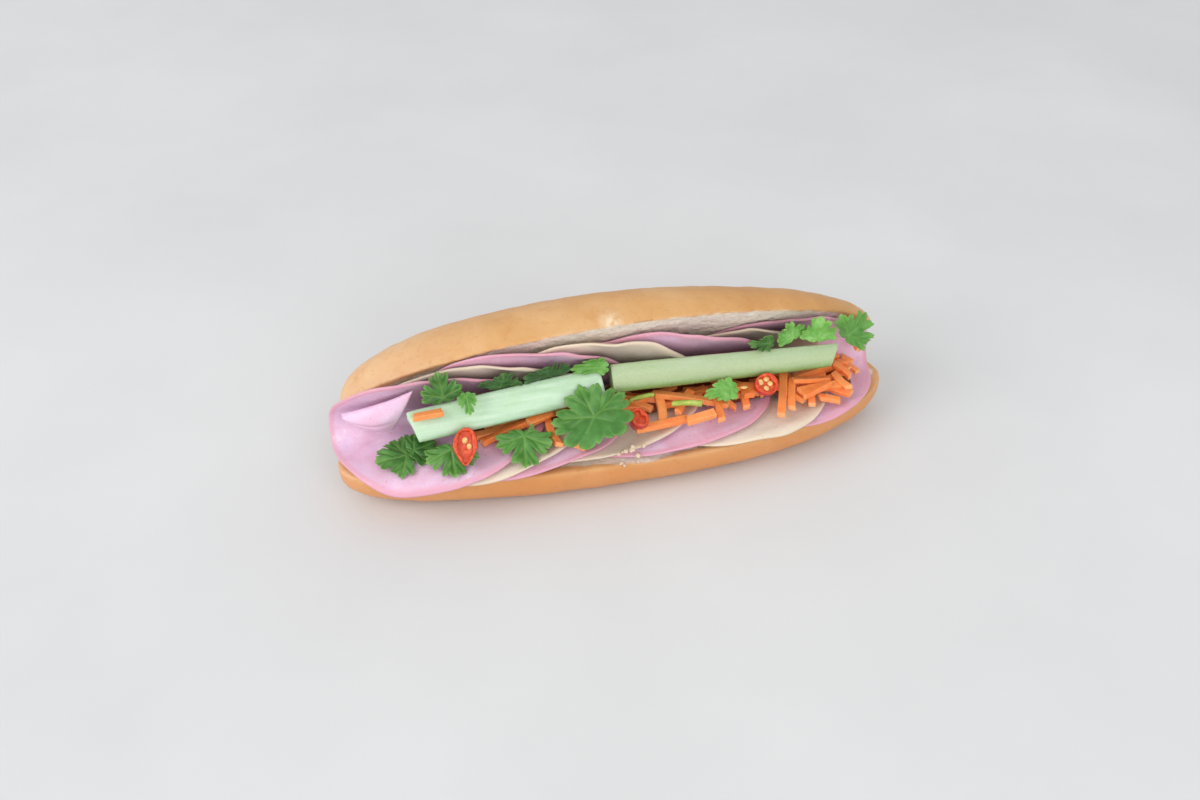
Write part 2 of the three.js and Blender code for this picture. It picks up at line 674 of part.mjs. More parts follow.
// A thin wavy leaf: size is its length, spread widens it, base fills it out round its stalk, cup lifts its
// edge, wave ripples it. One that leans stands in front of the slices on the upper cut face.
function leaf(shape, ground) {
  const { at, size, spread, base, heading, tilt, cup, wave, leans } = { ...LEAF, ...shape };
  const outline = leafOutline(spread, base);
  const turn = new THREE.Euler(degrees(tilt), 0, degrees(heading), 'XYZ');
  const points = [];
  for (const lift of [0, LEAF_THICKNESS]) {
    const ring = (scale) => outline.map(({ x, y }, k) => new THREE.Vector3(
      x * scale * size,
      y * scale * size,
      size * scale * scale * (cup + wave * Math.cos(k * WAVE_TURN)),
    ));
    const face = [new THREE.Vector3(), ...ring(0.55), ...ring(1)];
    for (const point of face) {
      point.z += lift;
      point.applyEuler(turn).add(new THREE.Vector3(...at));
      if (leans) clearOfUpperSlices(point, 2 * GAP + lift);
      point.z = Math.max(point.z, ground.highest(point.x, point.y, LEAF_REACH) + GAP + lift);
      points.push(point);
    }
  }
  const count = outline.length;
  const half = points.length / 2;
  const triangles = [];
  for (let k = 0; k < count; k += 1) {
    const next = (k + 1) % count;
    const [a, b, c, d] = [1 + k, 1 + next, 1 + count + k, 1 + count + next];
    const face = [[0, b, a], [a, b, d], [a, d, c]];
    for (const [p, q, r] of face) triangles.push([p, q, r], [p + half, r + half, q + half]);
    triangles.push([c, d, d + half], [c, d + half, c + half]);
  }
  return closedGeometry(points, triangles);
}

// Leaves that lie on what is under them.
const RESTING_LEAVES = [
  { name: 'coriander_leaf_01', at: [-86.5, -10.8, 24], size: 21, heading: 95 },
  { name: 'coriander_leaf_02', at: [-83.8, -10.5, 25.5], size: 16, heading: -75, tilt: 12 },
  { name: 'coriander_leaf_03', at: [-70.8, -17.2, 29], size: 19, heading: 178, tilt: 28 },
  { name: 'coriander_leaf_04', at: [-42.2, -17.7, 30.5], size: 22, heading: 172, tilt: 25 },
  { name: 'coriander_leaf_05', at: [41, -16, 36.5], size: 20, spread: 0.45, heading: 97, tilt: 40 },
];

// Leaves that are there once the batons are, in front of them or behind them.
const LATE_LEAVES = [
  {
    name: 'coriander_leaf_06', at: [-16, -23, 39], size: 22, spread: 1.42, base: 5,
    heading: 15, tilt: 36,
  },
  { name: 'coriander_leaf_07', at: [-70.5, -8.6, 47.6], size: 19, spread: 0.85, heading: 5, tilt: 78 },
  { name: 'coriander_leaf_08', at: [-62.2, -12.2, 49.4], size: 12, spread: 0.6, heading: 185, tilt: 50 },
  { name: 'coriander_leaf_09', at: [-48.5, -6.7, 47], size: 13, spread: 1.3, heading: -12, tilt: 78 },
  { name: 'coriander_leaf_10', at: [-30, -6.5, 49], size: 11, spread: 1.7, heading: 10, tilt: 78 },
  { name: 'coriander_leaf_11', at: [-9.3, -7.4, 49.8], size: 21, spread: 0.4, heading: 85, tilt: 70 },
  { name: 'coriander_leaf_12', at: [59, -6.2, 48.6], size: 15.5, spread: 0.45, heading: 82, tilt: 75 },
  { name: 'coriander_leaf_13', at: [67.9, -6.8, 50.5], size: 12.5, heading: 25, tilt: 76 },
  { name: 'coriander_leaf_14', at: [78, -8.2, 49.5], size: 15, heading: -8, tilt: 76 },
  { name: 'coriander_leaf_15', at: [92, -6.6, 47.2], size: 19, heading: -48, tilt: 72 },
].map((shape) => ({ ...shape, leans: true }));

const STEMS = [
  { name: 'coriander_stem_1', line: [17, -15, 27.5, -20.5], radius: 1.2 },
  { name: 'coriander_stem_2', line: [1, -10.5, 10.5, -12], radius: 0.9 },
];

function stemSection(radius) {
  return Array.from({ length: 6 }, (_, side) => {
    const angle = (Math.PI * side) / 3;
    return [radius * Math.cos(angle), radius * (1 + Math.sin(angle))];
  });
}

// ---------------------------------------------------------------- the whole

function build() {
  const meshes = [piece('bread_roll', roll(), COLOURS.crust)];
  const ground = new Ground();

  SLICES.forEach(({ name, look }, index) => {
    const geometry = slice(index);
    meshes.push(piece(name, geometry, look));
    ground.add(geometry, UNDER_BATONS);
  });
  meshes.push(piece('ham_flap', hamFlap(), COLOURS.ham));

  const lay = (name, geometry, look) => {
    meshes.push(piece(name, geometry, look));
    ground.add(geometry);
  };
  lay('carrot_heap', carrotHeap(ground), COLOURS.carrot);
  for (const { name, line } of LOOSE_SHREDS) {
    lay(name, laidStrand(line, SHRED_SECTION, ground), COLOURS.carrot);
  }
  for (const shape of RESTING_LEAVES) lay(shape.name, leaf(shape, ground), COLOURS.coriander);
  for (const { name, line, radius } of STEMS) {
    lay(name, laidStrand(line, stemSection(radius), ground), COLOURS.coriander);
  }
  for (const shape of CHILLI_SLICES) lay(shape.name, chilliSlice(shape, ground), COLOURS.chilli);
  for (const shape of BATONS) lay(shape.name, baton(shape), COLOURS.cucumber);
  lay(SHRED_ON_BATON.name, laidStrand(SHRED_ON_BATON.line, SHRED_SECTION, ground), COLOURS.carrot);
  for (const shape of LATE_LEAVES) meshes.push(piece(shape.name, leaf(shape, ground), COLOURS.coriander));

  const box = new THREE.Box3();
  for (const mesh of meshes) box.expandByObject(mesh);
  const middle = box.getCenter(new THREE.Vector3());
  for (const mesh of meshes) mesh.geometry.translate(-middle.x, -middle.y, -box.min.z);

  const sandwich = new THREE.Group();
  sandwich.add(...meshes);
  return sandwich;
}

export default build();
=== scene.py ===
"""A banh mi sandwich: the looks of every piece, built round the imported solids.

All sizes are in millimetres in the axes that the roll is drawn in; place() brings them into the row frame.
+X runs along the roll, -Y out of its open front, +Z up.
"""

import math

import bmesh
import bpy
import numpy as np
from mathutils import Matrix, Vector
from mathutils.kdtree import KDTree


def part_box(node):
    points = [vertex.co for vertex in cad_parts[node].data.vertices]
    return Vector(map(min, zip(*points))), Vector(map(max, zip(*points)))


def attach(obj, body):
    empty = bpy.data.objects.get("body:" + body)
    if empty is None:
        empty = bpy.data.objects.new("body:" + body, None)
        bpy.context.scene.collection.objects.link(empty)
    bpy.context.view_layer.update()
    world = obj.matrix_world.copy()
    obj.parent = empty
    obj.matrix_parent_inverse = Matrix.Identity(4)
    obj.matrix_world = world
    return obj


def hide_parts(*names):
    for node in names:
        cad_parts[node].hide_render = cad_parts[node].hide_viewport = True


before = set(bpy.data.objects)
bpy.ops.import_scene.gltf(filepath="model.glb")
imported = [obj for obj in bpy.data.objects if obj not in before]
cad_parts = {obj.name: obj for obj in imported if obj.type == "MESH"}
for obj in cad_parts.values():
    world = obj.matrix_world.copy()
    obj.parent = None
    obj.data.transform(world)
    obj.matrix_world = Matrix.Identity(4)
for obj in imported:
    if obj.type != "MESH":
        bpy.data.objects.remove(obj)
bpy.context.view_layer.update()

MM = 0.001
GAP = 0.35  # between things that lie on each other

# ---------------- driving dimensions

CUT_HEIGHT = 17.5  # the lower half's cut face above the table
HINGE_Y = 23.0  # where both cut faces would meet
GAPE = math.radians(60)  # between the cut faces

# Both halves lie closed here. The plan's exponent is 2 for an ellipse, the section's too; the tapers say how
# fast the height falls with the width towards the tips, and thinning how much it falls to the right.
LOWER_HALF = dict(
    left=-113.0, right=113.8, widest=10.0, plan=2.14, half_width=30.9, axis_y=2.0, tips_y=(-2.0, 5.0),
    height=-19.1, section=2.95, left_taper=0.45, right_taper=0.45, thinning=0.0,
)
UPPER_HALF = dict(
    left=-108.5, right=111.4, widest=7.5, plan=1.75, half_width=33.4, axis_y=-1.0, tips_y=(8.0, 2.0),
    height=25.1, section=2.2, left_taper=0.64, right_taper=0.68, thinning=0.002,
)

FOLD_RADIUS = 12.0  # of the lowest slice, where it turns up the other cut face
SLICE_THICKNESS = 1.4
SLICE_PITCH = 2.1  # from one slice to the next in the stack
SLICE_CLEARANCE = 0.5  # between the lowest slice and the bread
SLICE_LEAD = 3.0  # how far past another's edge a slice keeps its height
SLICE_RAMP = 18.0  # over which it then comes down
SLICE_ROUNDNESS = 2.4  # of the discs' outline, 2 for an ellipse and more for a fuller one
RIM_DROOP = 0.07  # of the slices past the lower rim, per millimetre squared

SHRED_WIDTH = 3.6
SHRED_THICKNESS = 2.8
LEAF_THICKNESS = 0.45

WEDGE = GAPE / 2
FOLD_Y = HINGE_Y - FOLD_RADIUS / math.tan(WEDGE)
FOLD_Z = CUT_HEIGHT + FOLD_RADIUS
FOLD_TURN = math.pi - GAPE
FOLD_HALF = FOLD_TURN * FOLD_RADIUS / 2

TIP_TURN = 0.497  # of half a turn: where the rings of a half end, just short of its tips
TIP_SWEEP = math.sin(TIP_TURN * math.pi)

# From the drawing's axes to the row frame, by the low corner of the roll's box.
ROLL_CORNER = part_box("bread_roll")[0]
SHIFT = np.array([
    ROLL_CORNER[0] / MM - (LOWER_HALF["widest"] + TIP_SWEEP * (LOWER_HALF["left"] - LOWER_HALF["widest"])),
    ROLL_CORNER[1] / MM - (LOWER_HALF["axis_y"] - LOWER_HALF["half_width"]),
    0.0,
])


# ---------------- numbers

def smoothstep(value, low, high):
    t = np.clip((value - low) / (high - low), 0, 1)
    return t * t * (3 - 2 * t)


class Noise:
    """Smooth noise in space, about -0.7 to 0.7, the same on every run."""

    def __init__(self, seed):
        rng = np.random.default_rng(seed)
        self.order = rng.permutation(256)
        slopes = rng.normal(size=(256, 3))
        self.slopes = slopes / np.linalg.norm(slopes, axis=1)[:, None]

    def __call__(self, points, size):
        points = np.asarray(points, float) / size
        cell = np.floor(points).astype(int)
        within = points - cell
        ease = within ** 3 * (within * (within * 6 - 15) + 10)
        total = np.zeros(points.shape[:-1])
        for corner in np.ndindex(2, 2, 2):
            at = cell + corner
            index = self.order[at[..., 0] & 255]
            index = self.order[(index + at[..., 1]) & 255]
            index = self.order[(index + at[..., 2]) & 255]
            slope = (self.slopes[index] * (within - corner)).sum(-1)
            weight = np.prod(np.where(np.array(corner) == 1, ease, 1 - ease), axis=-1)
            total += weight * slope
        return total


NOISE = Noise(7)


def noise(points, size, layers=1):
    total = NOISE(points, size)
    for layer in range(1, layers):
        total = total + NOISE(np.asarray(points) + 31.7 * layer, size / 2 ** layer) / 2 ** layer
    return total


# ---------------- meshes

def place(points):
    return (np.asarray(points, float) + SHIFT) * MM


def make_piece(name, points, faces, looks, nodes, slot, values=None, face_looks=None, crease=None):
    """A closed mesh that rides on the sandwich and stands for nodes.

    values are numbers per vertex that its looks read, face_looks tells which look each face has, and edges
    sharper than crease degrees stay sharp.
    """
    mesh = bpy.data.meshes.new(name)
    mesh.from_pydata(place(points).tolist(), [], [list(map(int, face)) for face in faces])
    for key, numbers in (values or {}).items():
        layer = mesh.attributes.new(key, "FLOAT", "POINT")
        layer.data.foreach_set("value", np.asarray(numbers, np.float32).ravel())
    for look in looks:
        mesh.materials.append(look)
    if face_looks is not None:
        mesh.polygons.foreach_set("material_index", np.asarray(face_looks, np.int32))
    shape = bmesh.new()
    shape.from_mesh(mesh)
    bmesh.ops.recalc_face_normals(shape, faces=shape.faces)
    shape.to_mesh(mesh)
    shape.free()
    mesh.polygons.foreach_set("use_smooth", np.ones(len(mesh.polygons), bool))
    if crease:
        mesh.set_sharp_from_angle(angle=math.radians(crease))
    piece = bpy.data.objects.new(name, mesh)
    bpy.context.collection.objects.link(piece)
    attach(piece, "root")
    if nodes:
        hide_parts(*nodes)
    return piece


class Parts:
    """Collects closed bodies into the points, faces and vertex values of one mesh."""

    def __init__(self):
        self.points, self.faces, self.looks, self.values, self.count = [], [], [], {}, 0

    def add(self, points, faces, look=0, **values):
        points = np.asarray(points, float).reshape(-1, 3)
        self.points.append(points)
        self.faces += [[corner + self.count for corner in face] for face in faces]
        self.looks += [look] * len(faces)
        for key, numbers in values.items():
            self.values.setdefault(key, []).append(np.broadcast_to(numbers, (len(points),)))
        self.count += len(points)

    def piece(self, name, looks, nodes, slot, crease=None):
        values = {key: np.concatenate(numbers) for key, numbers in self.values.items()}
        points = np.concatenate(self.points)
        return make_piece(name, points, self.faces, looks, nodes, slot, values, self.looks, crease)


def band(low, high, count):
    """Faces between two rings of count points, the first of which are the points low and high."""
    side = np.arange(count)
    after = (side + 1) % count
    return np.stack([low + side, low + after, high + after, high + side], 1).tolist()


def loft(rings):
    """Points and faces of a closed body through rings of equal length, closed by fans at both ends."""
    rings = np.asarray(rings, float)
    stations, count = rings.shape[:2]
    points = np.concatenate([rings.reshape(-1, 3), rings[0].mean(0)[None], rings[-1].mean(0)[None]])
    last = (stations - 1) * count
    faces = []
    for low in range(0, last, count):
        faces += band(low, low + count, count)
    sides = [(side, (side + 1) % count) for side in range(count)]
    faces += [[b, a, len(points) - 2] for a, b in sides]
    faces += [[last + a, last + b, len(points) - 1] for a, b in sides]
    return points, faces


def closed_disc(top, bottom):
    """A closed thin body between two faces, given as rings round a centre that start with one point."""
    rings, count = top.shape[:2]
    sheets = [np.concatenate([face[0, :1], face[1:].reshape(-1, 3)]) for face in (top, bottom)]
    points = np.concatenate(sheets)
    other = len(sheets[0])
    rim = 1 + (rings - 2) * count
    faces = []
    for middle in (0, other):
        first = middle + 1
        faces += [[middle, first + side, first + (side + 1) % count] for side in range(count)]
        for low in range(first, middle + rim, count):
            faces += band(low, low + count, count)
    faces += band(rim, other + rim, count)
    return points, faces


def unit_ball(rings, sides, pole):
    """A ball of radius 1 as rings; the first and last ones lie pole radians off its poles."""
    polar = np.linspace(pole, math.pi - pole, rings)[:, None]
    angle = np.linspace(0, 2 * math.pi, sides, endpoint=False)
    across = np.stack([np.cos(angle), np.sin(angle)], -1) * np.sin(polar)[..., None]
    return np.concatenate([across, np.broadcast_to(np.cos(polar)[..., None], (rings, sides, 1))], -1)


def disc_values(values):
    """Per-vertex numbers of closed_disc from one number per ring and side."""
    one = np.concatenate([values[0, :1], values[1:].ravel()])
    return np.concatenate([one, one])


NOTHING = -1e3  # the height where nothing lies yet


class Ground:
    """The highest surface over a fine grid, for laying things on what is already there."""
    CELL = 0.5
    LOW = np.array([-125.0, -50.0])
    SHAPE = (520, 200)

    def __init__(self):
        self.top = np.full(self.SHAPE, NOTHING)

    def cell(self, *at):
        steps = [((np.asarray(v) - low) / self.CELL).astype(int) for v, low in zip(at, self.LOW)]
        return tuple(np.clip(step, 0, count - 1) for step, count in zip(steps, self.SHAPE))

    def add(self, points):
        points = np.asarray(points).reshape(-1, 3)
        for dx in (-self.CELL, 0, self.CELL):
            for dy in (-self.CELL, 0, self.CELL):
                np.maximum.at(self.top, self.cell(points[:, 0] + dx, points[:, 1] + dy), points[:, 2])

    def highest(self, x, y, reach):
        steps = np.arange(-reach, reach + self.CELL, self.CELL)
        best = np.full(np.shape(x), NOTHING)
        for dx in steps:
            for dy in steps:
                if math.hypot(dx, dy) <= reach + 0.1:
                    best = np.maximum(best, self.top[self.cell(np.asarray(x) + dx, np.asarray(y) + dy)])
        return best


# ---------------- looks

def srgb(color):
    """A colour as seen on a screen, 0 to 255, as the linear colour that shaders use."""
    linear = [((c / 255 + 0.055) / 1.055) ** 2.4 if c > 10 else c / 255 / 12.92 for c in color]
    return (*linear, 1.0)


class Look:
    """A material's nodes. Sizes of patterns are in millimetres, colours are as seen on a screen."""

    def __init__(self, name, roughness, specular):
        self.material = bpy.data.materials.new(name)
        self.material.use_nodes = True
        self.tree = self.material.node_tree
        self.tree.nodes.clear()
        self.surface = self.add("ShaderNodeBsdfPrincipled", {
            "Roughness": roughness, "Specular IOR Level": specular,
        })
        self.add("ShaderNodeOutputMaterial", {"Surface": self.surface.outputs["BSDF"]})
        self.where = self.add("ShaderNodeTexCoord").outputs["Object"]
        self.color = None
        self.normal = None

    def add(self, kind, inputs=(), **settings):
        node = self.tree.nodes.new(kind)
        for key, value in settings.items():
            setattr(node, key, value)
        for key, value in dict(inputs).items():
            self.put(value, node.inputs[key])
        return node

    def put(self, value, socket):
        """Gives a socket a number or a colour, or another socket to follow."""
        if isinstance(value, bpy.types.NodeSocket):
            self.tree.links.new(value, socket)
        else:
            socket.default_value = srgb(value) if isinstance(value, tuple) else value

    def noise(self, size, detail=3.0, roughness=0.55, distortion=0.0, stretch=None):
        where = self.where
        if stretch:
            mapping = self.add("ShaderNodeMapping", {"Vector": where})
            mapping.inputs["Scale"].default_value = stretch
            where = mapping.outputs["Vector"]
        return self.add("ShaderNodeTexNoise", {
            "Vector": where, "Scale": 1 / (size * MM),
            "Detail": detail, "Roughness": roughness, "Distortion": distortion,
        }).outputs["Fac"]

    def cells(self, size):
        node = self.add("ShaderNodeTexVoronoi", {"Vector": self.where, "Scale": 1 / (size * MM)})
        return node.outputs["Distance"]

    def value(self, name):
        return self.add("ShaderNodeAttribute", attribute_name=name).outputs["Fac"]

    def span(self, value, low, high, to_low=0.0, to_high=1.0):
        """Eases from to_low to to_high while the value goes from low to high."""
        numbers = {0: value, 1: low, 2: high, 3: to_low, 4: to_high}
        return self.add("ShaderNodeMapRange", numbers, interpolation_type="SMOOTHSTEP").outputs["Result"]

    def patches(self, size, low, high, **pattern):
        return self.span(self.noise(size, **pattern), low, high)

    def ramp(self, value, *stops):
        node = self.add("ShaderNodeValToRGB", {"Fac": value})
        ramp = node.color_ramp
        while len(ramp.elements) < len(stops):
            ramp.elements.new(0.5)
        for element, (position, color) in zip(ramp.elements, stops):
            element.position = position
            element.color = srgb(color)
        return node.outputs["Color"]

    def mottle(self, size, *stops, **pattern):
        return self.ramp(self.noise(size, **pattern), *stops)

    def mix(self, share, first, second):
        return self.add("ShaderNodeMix", {0: share, 6: first, 7: second}, data_type="RGBA").outputs[2]

    def times(self, first, second):
        return self.add("ShaderNodeMath", {0: first, 1: second}, operation="MULTIPLY").outputs[0]

    def paint(self, color):
        self.color = color
        self.put(color, self.surface.inputs["Base Color"])

    def tint(self, share, color, most=1.0):
        """Paints a colour over what is there, by most of the share. A name is that of a vertex value."""
        share = self.value(share) if isinstance(share, str) else share
        self.paint(self.mix(self.times(share, most), self.color, color))

    def rough(self, value):
        self.put(value, self.surface.inputs["Roughness"])

    def bump(self, height, depth, **pattern):
        """Raises the surface by height times depth millimetres. A number is the size of a noise."""
        if not isinstance(height, bpy.types.NodeSocket):
            height = self.noise(height, **pattern)
        node = self.add("ShaderNodeBump", {"Strength": 1.0, "Distance": depth * MM, "Height": height})
        if self.normal:
            self.put(self.normal, node.inputs["Normal"])
        self.normal = node.outputs["Normal"]
        self.put(self.normal, self.surface.inputs["Normal"])

    def translucent(self, weight, red, green, blue):
        """Light spreads under the surface by that many millimetres for each colour."""
        self.surface.inputs["Subsurface Weight"].default_value = weight
        self.surface.inputs["Subsurface Radius"].default_value = (red, green, blue)
        self.surface.inputs["Subsurface Scale"].default_value = MM

    def coat(self, weight, roughness):
        self.surface.inputs["Coat Weight"].default_value = weight
        self.surface.inputs["Coat Roughness"].default_value = roughness


def paint_crust(look):
    look.paint(look.mottle(
        34, (0.28, (206, 148, 88)), (0.45, (214, 162, 102)), (0.62, (222, 176, 122)), (0.8, (232, 194, 146)),
        detail=4, distortion=0.4,
    ))
    # painted light: the crust is paler towards the left end, where the light falls
    look.tint("painted_light_left", (244, 208, 170), 0.5)
    look.tint("lower", (220, 142, 80), 0.7)
    baked = look.patches(9, 0.48, 0.72, detail=5, roughness=0.6)
    look.tint(baked, (204, 138, 78), 0.35)
    freckles = look.patches(1.6, 0.58, 0.74, detail=2)
    look.tint(freckles, (176, 112, 62), 0.22)
    flour = look.times(look.value("flour"), look.patches(2.6, 0.3, 0.6, detail=5))
    look.tint(flour, (244, 230, 202))


def crumb_color(look, pores):
    # darker at the middle of the cells: painted shade in the crumb's holes
    crumb = look.ramp(pores, (0.0, (224, 208, 188)), (0.3, (236, 224, 208)), (0.7, (243, 234, 220)))
    return look.mix(look.span(look.noise(6), 0.4, 0.7, 0, 0.3), crumb, (222, 206, 184))


def bread_look():
    look = Look("bread", roughness=0.5, specular=0.35)
    pores = look.cells(1.3)
    is_crumb = look.value("crumb")
    paint_crust(look)
    look.tint(is_crumb, crumb_color(look, pores))
    look.rough(look.span(is_crumb, 0, 1, 0.46, 0.9))
    look.bump(2.4, 0.25, detail=4)
    look.bump(0.7, 0.08, detail=2)
    look.bump(look.times(pores, is_crumb), 0.2)
    look.translucent(0.05, 3.0, 1.8, 0.8)
    return look.material


def ham_look():
    look = Look("ham", roughness=0.36, specular=0.5)
    look.paint(look.mottle(
        15, (0.25, (228, 178, 202)), (0.5, (232, 194, 220)), (0.75, (236, 208, 234)),
        detail=4, distortion=0.8,
    ))
    fat = look.patches(5.5, 0.56, 0.72, detail=5, roughness=0.65, distortion=1.2)
    look.tint(fat, (250, 230, 236), 0.4)
    lean = look.patches(2.1, 0.58, 0.75)
    look.tint(lean, (226, 158, 178), 0.28)
    specks = look.patches(1.2, 0.7, 0.77, detail=1)
    look.tint(specks, (190, 108, 128), 0.45)
    look.tint("rim", (222, 152, 170), 0.75)
    # painted shade: darker deep in the fold behind the batons
    look.tint("fold_shade", (116, 70, 84), 0.65)
    look.bump(1.3, 0.12)
    look.bump(7, 0.3, detail=2)
    look.rough(look.span(look.noise(4, detail=2), 0.3, 0.7, 0.28, 0.46))
    look.translucent(0.12, 3.0, 1.6, 1.2)
    return look.material


def pork_roll_look():
    look = Look("pork_roll", roughness=0.42, specular=0.45)
    meat = look.mottle(
        12, (0.3, (243, 234, 222)), (0.5, (247, 240, 230)), (0.72, (250, 246, 238)),
        detail=4, distortion=0.5,
    )
    grain = look.span(look.cells(1.2), 0.0, 0.45)
    look.paint(look.mix(look.times(grain, 0.2), (230, 214, 196), meat))
    specks = look.patches(1.5, 0.66, 0.74, detail=2)
    look.tint(specks, (196, 156, 128), 0.4)
    look.tint("rim", (228, 206, 176), 0.5)
    # painted shade: darker deep in the fold behind the batons
    look.tint("fold_shade", (112, 96, 84), 0.65)
    look.bump(0.9, 0.12)
    look.bump(6, 0.25, detail=2)
    look.translucent(0.1, 2.4, 2.0, 1.5)
    return look.material


def cucumber_look():
    look = Look("cucumber", roughness=0.3, specular=0.5)
    fibres = look.noise(1.6, stretch=(0.08, 1, 1))
    look.paint(look.ramp(fibres, (0.3, (180, 214, 178)), (0.5, (193, 222, 192)), (0.7, (207, 232, 206))))
    cloud = look.patches(14, 0.35, 0.7)
    look.tint(cloud, (180, 212, 160), 0.35)
    look.tint("ripe", (172, 182, 130), 0.75)
    green = look.mottle(
        3, (0.3, (96, 136, 60)), (0.55, (126, 164, 86)), (0.75, (152, 186, 112)),
        stretch=(0.2, 1, 1),
    )
    look.tint("skin", green)
    look.bump(fibres, 0.1)
    look.bump(5, 0.15, detail=2)
    look.rough(look.span(look.noise(3, detail=2), 0.3, 0.7, 0.22, 0.4))
    look.translucent(0.3, 2.0, 3.0, 1.6)
    return look.material


def carrot_look():
    look = Look("carrot", roughness=0.36, specular=0.5)
    look.paint(look.mix(look.value("tone"), (255, 124, 48), (255, 158, 88)))
    fibres = look.patches(0.9, 0.35, 0.7)
    look.tint(fibres, (255, 182, 118), 0.3)
    deep = look.patches(4, 0.5, 0.75, detail=2)
    look.tint(deep, (246, 96, 30), 0.3)
    look.tint("cut", (255, 198, 140), 0.45)
    look.tint("shade", (118, 50, 18))
    look.bump(0.8, 0.14)
    look.rough(look.span(look.noise(2, detail=2), 0.3, 0.7, 0.26, 0.46))
    look.translucent(0.25, 3.0, 1.4, 0.5)
    return look.material


def chilli_skin_look():
    look = Look("chilli_skin", roughness=0.2, specular=0.6)
    look.paint(look.mottle(3, (0.35, (176, 22, 12)), (0.6, (206, 38, 18)), (0.8, (224, 70, 30)), detail=2))
    look.bump(1.5, 0.05, detail=2)
    look.coat(0.3, 0.3)
    look.translucent(0.15, 2.0, 0.6, 0.3)
    return look.material


def chilli_flesh_look():
    look = Look("chilli_flesh", roughness=0.3, specular=0.5)
    look.paint(look.mottle(1.2, (0.3, (204, 52, 22)), (0.55, (222, 84, 40)), (0.8, (238, 128, 72))))
    look.bump(0.6, 0.1, detail=2)
    look.translucent(0.3, 2.0, 1.0, 0.5)
    return look.material


def chilli_seed_look():
    look = Look("chilli_seed", roughness=0.35, specular=0.5)
    look.paint(look.mottle(0.8, (0.35, (232, 176, 100)), (0.7, (250, 216, 150)), detail=2))
    look.bump(0.4, 0.06, detail=2)
    look.translucent(0.2, 1.5, 1.0, 0.6)
    return look.material


def coriander_look():
    look = Look("coriander", roughness=0.42, specular=0.4)
    # deep and bright green per leaf: partly the leaves' own difference, partly painted shade and painted
    # light on leaves in shade and in light
    deep = look.mottle(6, (0.3, (36, 84, 32)), (0.5, (54, 108, 42)), (0.72, (78, 132, 60)), detail=4)
    bright = look.mottle(5, (0.3, (84, 152, 56)), (0.55, (118, 180, 84)), (0.75, (156, 206, 122)))
    look.paint(look.mix(look.value("tone"), deep, bright))
    look.tint("vein", (138, 182, 92), 0.4)
    look.tint("edge", (150, 190, 104), 0.3)
    # painted shade: a dark green over the leaves that lie in shade behind the batons
    look.tint("painted_shade", (18, 46, 22))
    look.bump(0.8, 0.08)
    look.translucent(0.3, 0.8, 1.6, 0.4)
    return look.material


def stem_look():
    look = Look("stem", roughness=0.35, specular=0.5)
    look.paint(look.mottle(
        1.4, (0.3, (148, 170, 62)), (0.6, (182, 198, 92)), (0.8, (206, 216, 128)),
        stretch=(0.2, 1, 1),
    ))
    look.bump(0.8, 0.08, detail=2, stretch=(0.15, 1, 1))
    look.translucent(0.3, 1.5, 2.0, 0.6)
    return look.material


def floor_look():
    look = Look("floor", roughness=0.75, specular=0.3)
    look.paint(look.mottle(160, (0.3, (218, 219, 220)), (0.7, (226, 227, 228)), detail=4))
    return look.material


# ---------------- the roll

def tip_distance(half, x):
    """From the widest place to the tip on x's side, negative to the left."""
    return np.where(x < half["widest"], half["left"], half["right"]) - half["widest"]


def towards_tip(half, x):
    return np.clip((x - half["widest"]) / tip_distance(half, x), 0, 1)


def width_share(half, x):
    return (1 - towards_tip(half, x) ** half["plan"]) ** (1 / half["plan"])


def axis_at(half, x):
    tip = np.where(x < half["widest"], *half["tips_y"])
    return half["axis_y"] + (tip - half["axis_y"]) * towards_tip(half, x) ** 3


def roll_half(half, stations=110, around=72):
    """One half, flat on its cut face, as rings from its left tip to its right one."""
    sweep = np.sin(np.linspace(-TIP_TURN, TIP_TURN, stations) * math.pi)
    x = half["widest"] + np.abs(sweep) * tip_distance(half, half["widest"] + sweep)
    share = width_share(half, x)
    taper = np.where(x < half["widest"], half["left_taper"], half["right_taper"])
    height = half["height"] * (1 - half["thinning"] * x) * share ** taper
    turn = np.linspace(0, math.pi, around)
    across = np.sign(np.cos(turn)) * np.abs(np.cos(turn)) ** (2 / half["section"])
    up = np.sin(turn) ** (2 / half["section"])
    ring = np.empty((stations, around, 3))
    ring[..., 0] = x[:, None]
    ring[..., 1] = axis_at(half, x)[:, None] + half["half_width"] * share[:, None] * across
    ring[..., 2] = CUT_HEIGHT + height[:, None] * up
    return ring


def opened(points):
    """Turns the upper half up about the hinge."""
    y = points[..., 1] - HINGE_Y
    z = points[..., 2] - CUT_HEIGHT
    turned = points.copy()
    turned[..., 1] = HINGE_Y + y * math.cos(GAPE) + z * math.sin(GAPE)
    turned[..., 2] = CUT_HEIGHT - y * math.sin(GAPE) + z * math.cos(GAPE)
    return turned


def from_upper_face(points):
    """How far points stand off the upper cut face, and how far up it from the hinge."""
    back = HINGE_Y - points[..., 1]
    up = points[..., 2] - CUT_HEIGHT
    return back * math.sin(GAPE) - up * math.cos(GAPE), back * math.cos(GAPE) + up * math.sin(GAPE)


UPPER_FACING = np.array([0, -math.sin(GAPE), -math.cos(GAPE)])
ROLL_VOXEL = 0.8
RAGGED = 1.2  # the crumb's edge
LOWER_CRUMB_X = 3.0  # where the lower crumb shows up to the rim, and how far to both sides
LOWER_CRUMB_REACH = 16.0
FLOUR_AT = np.array([-4.5, -3.0, 65.5])
FLOUR_REACH = np.array([3.6, 4.5, 4.0])
LUMPS = ((0.9, 38), (0.35, 9))  # of the crust: height and size
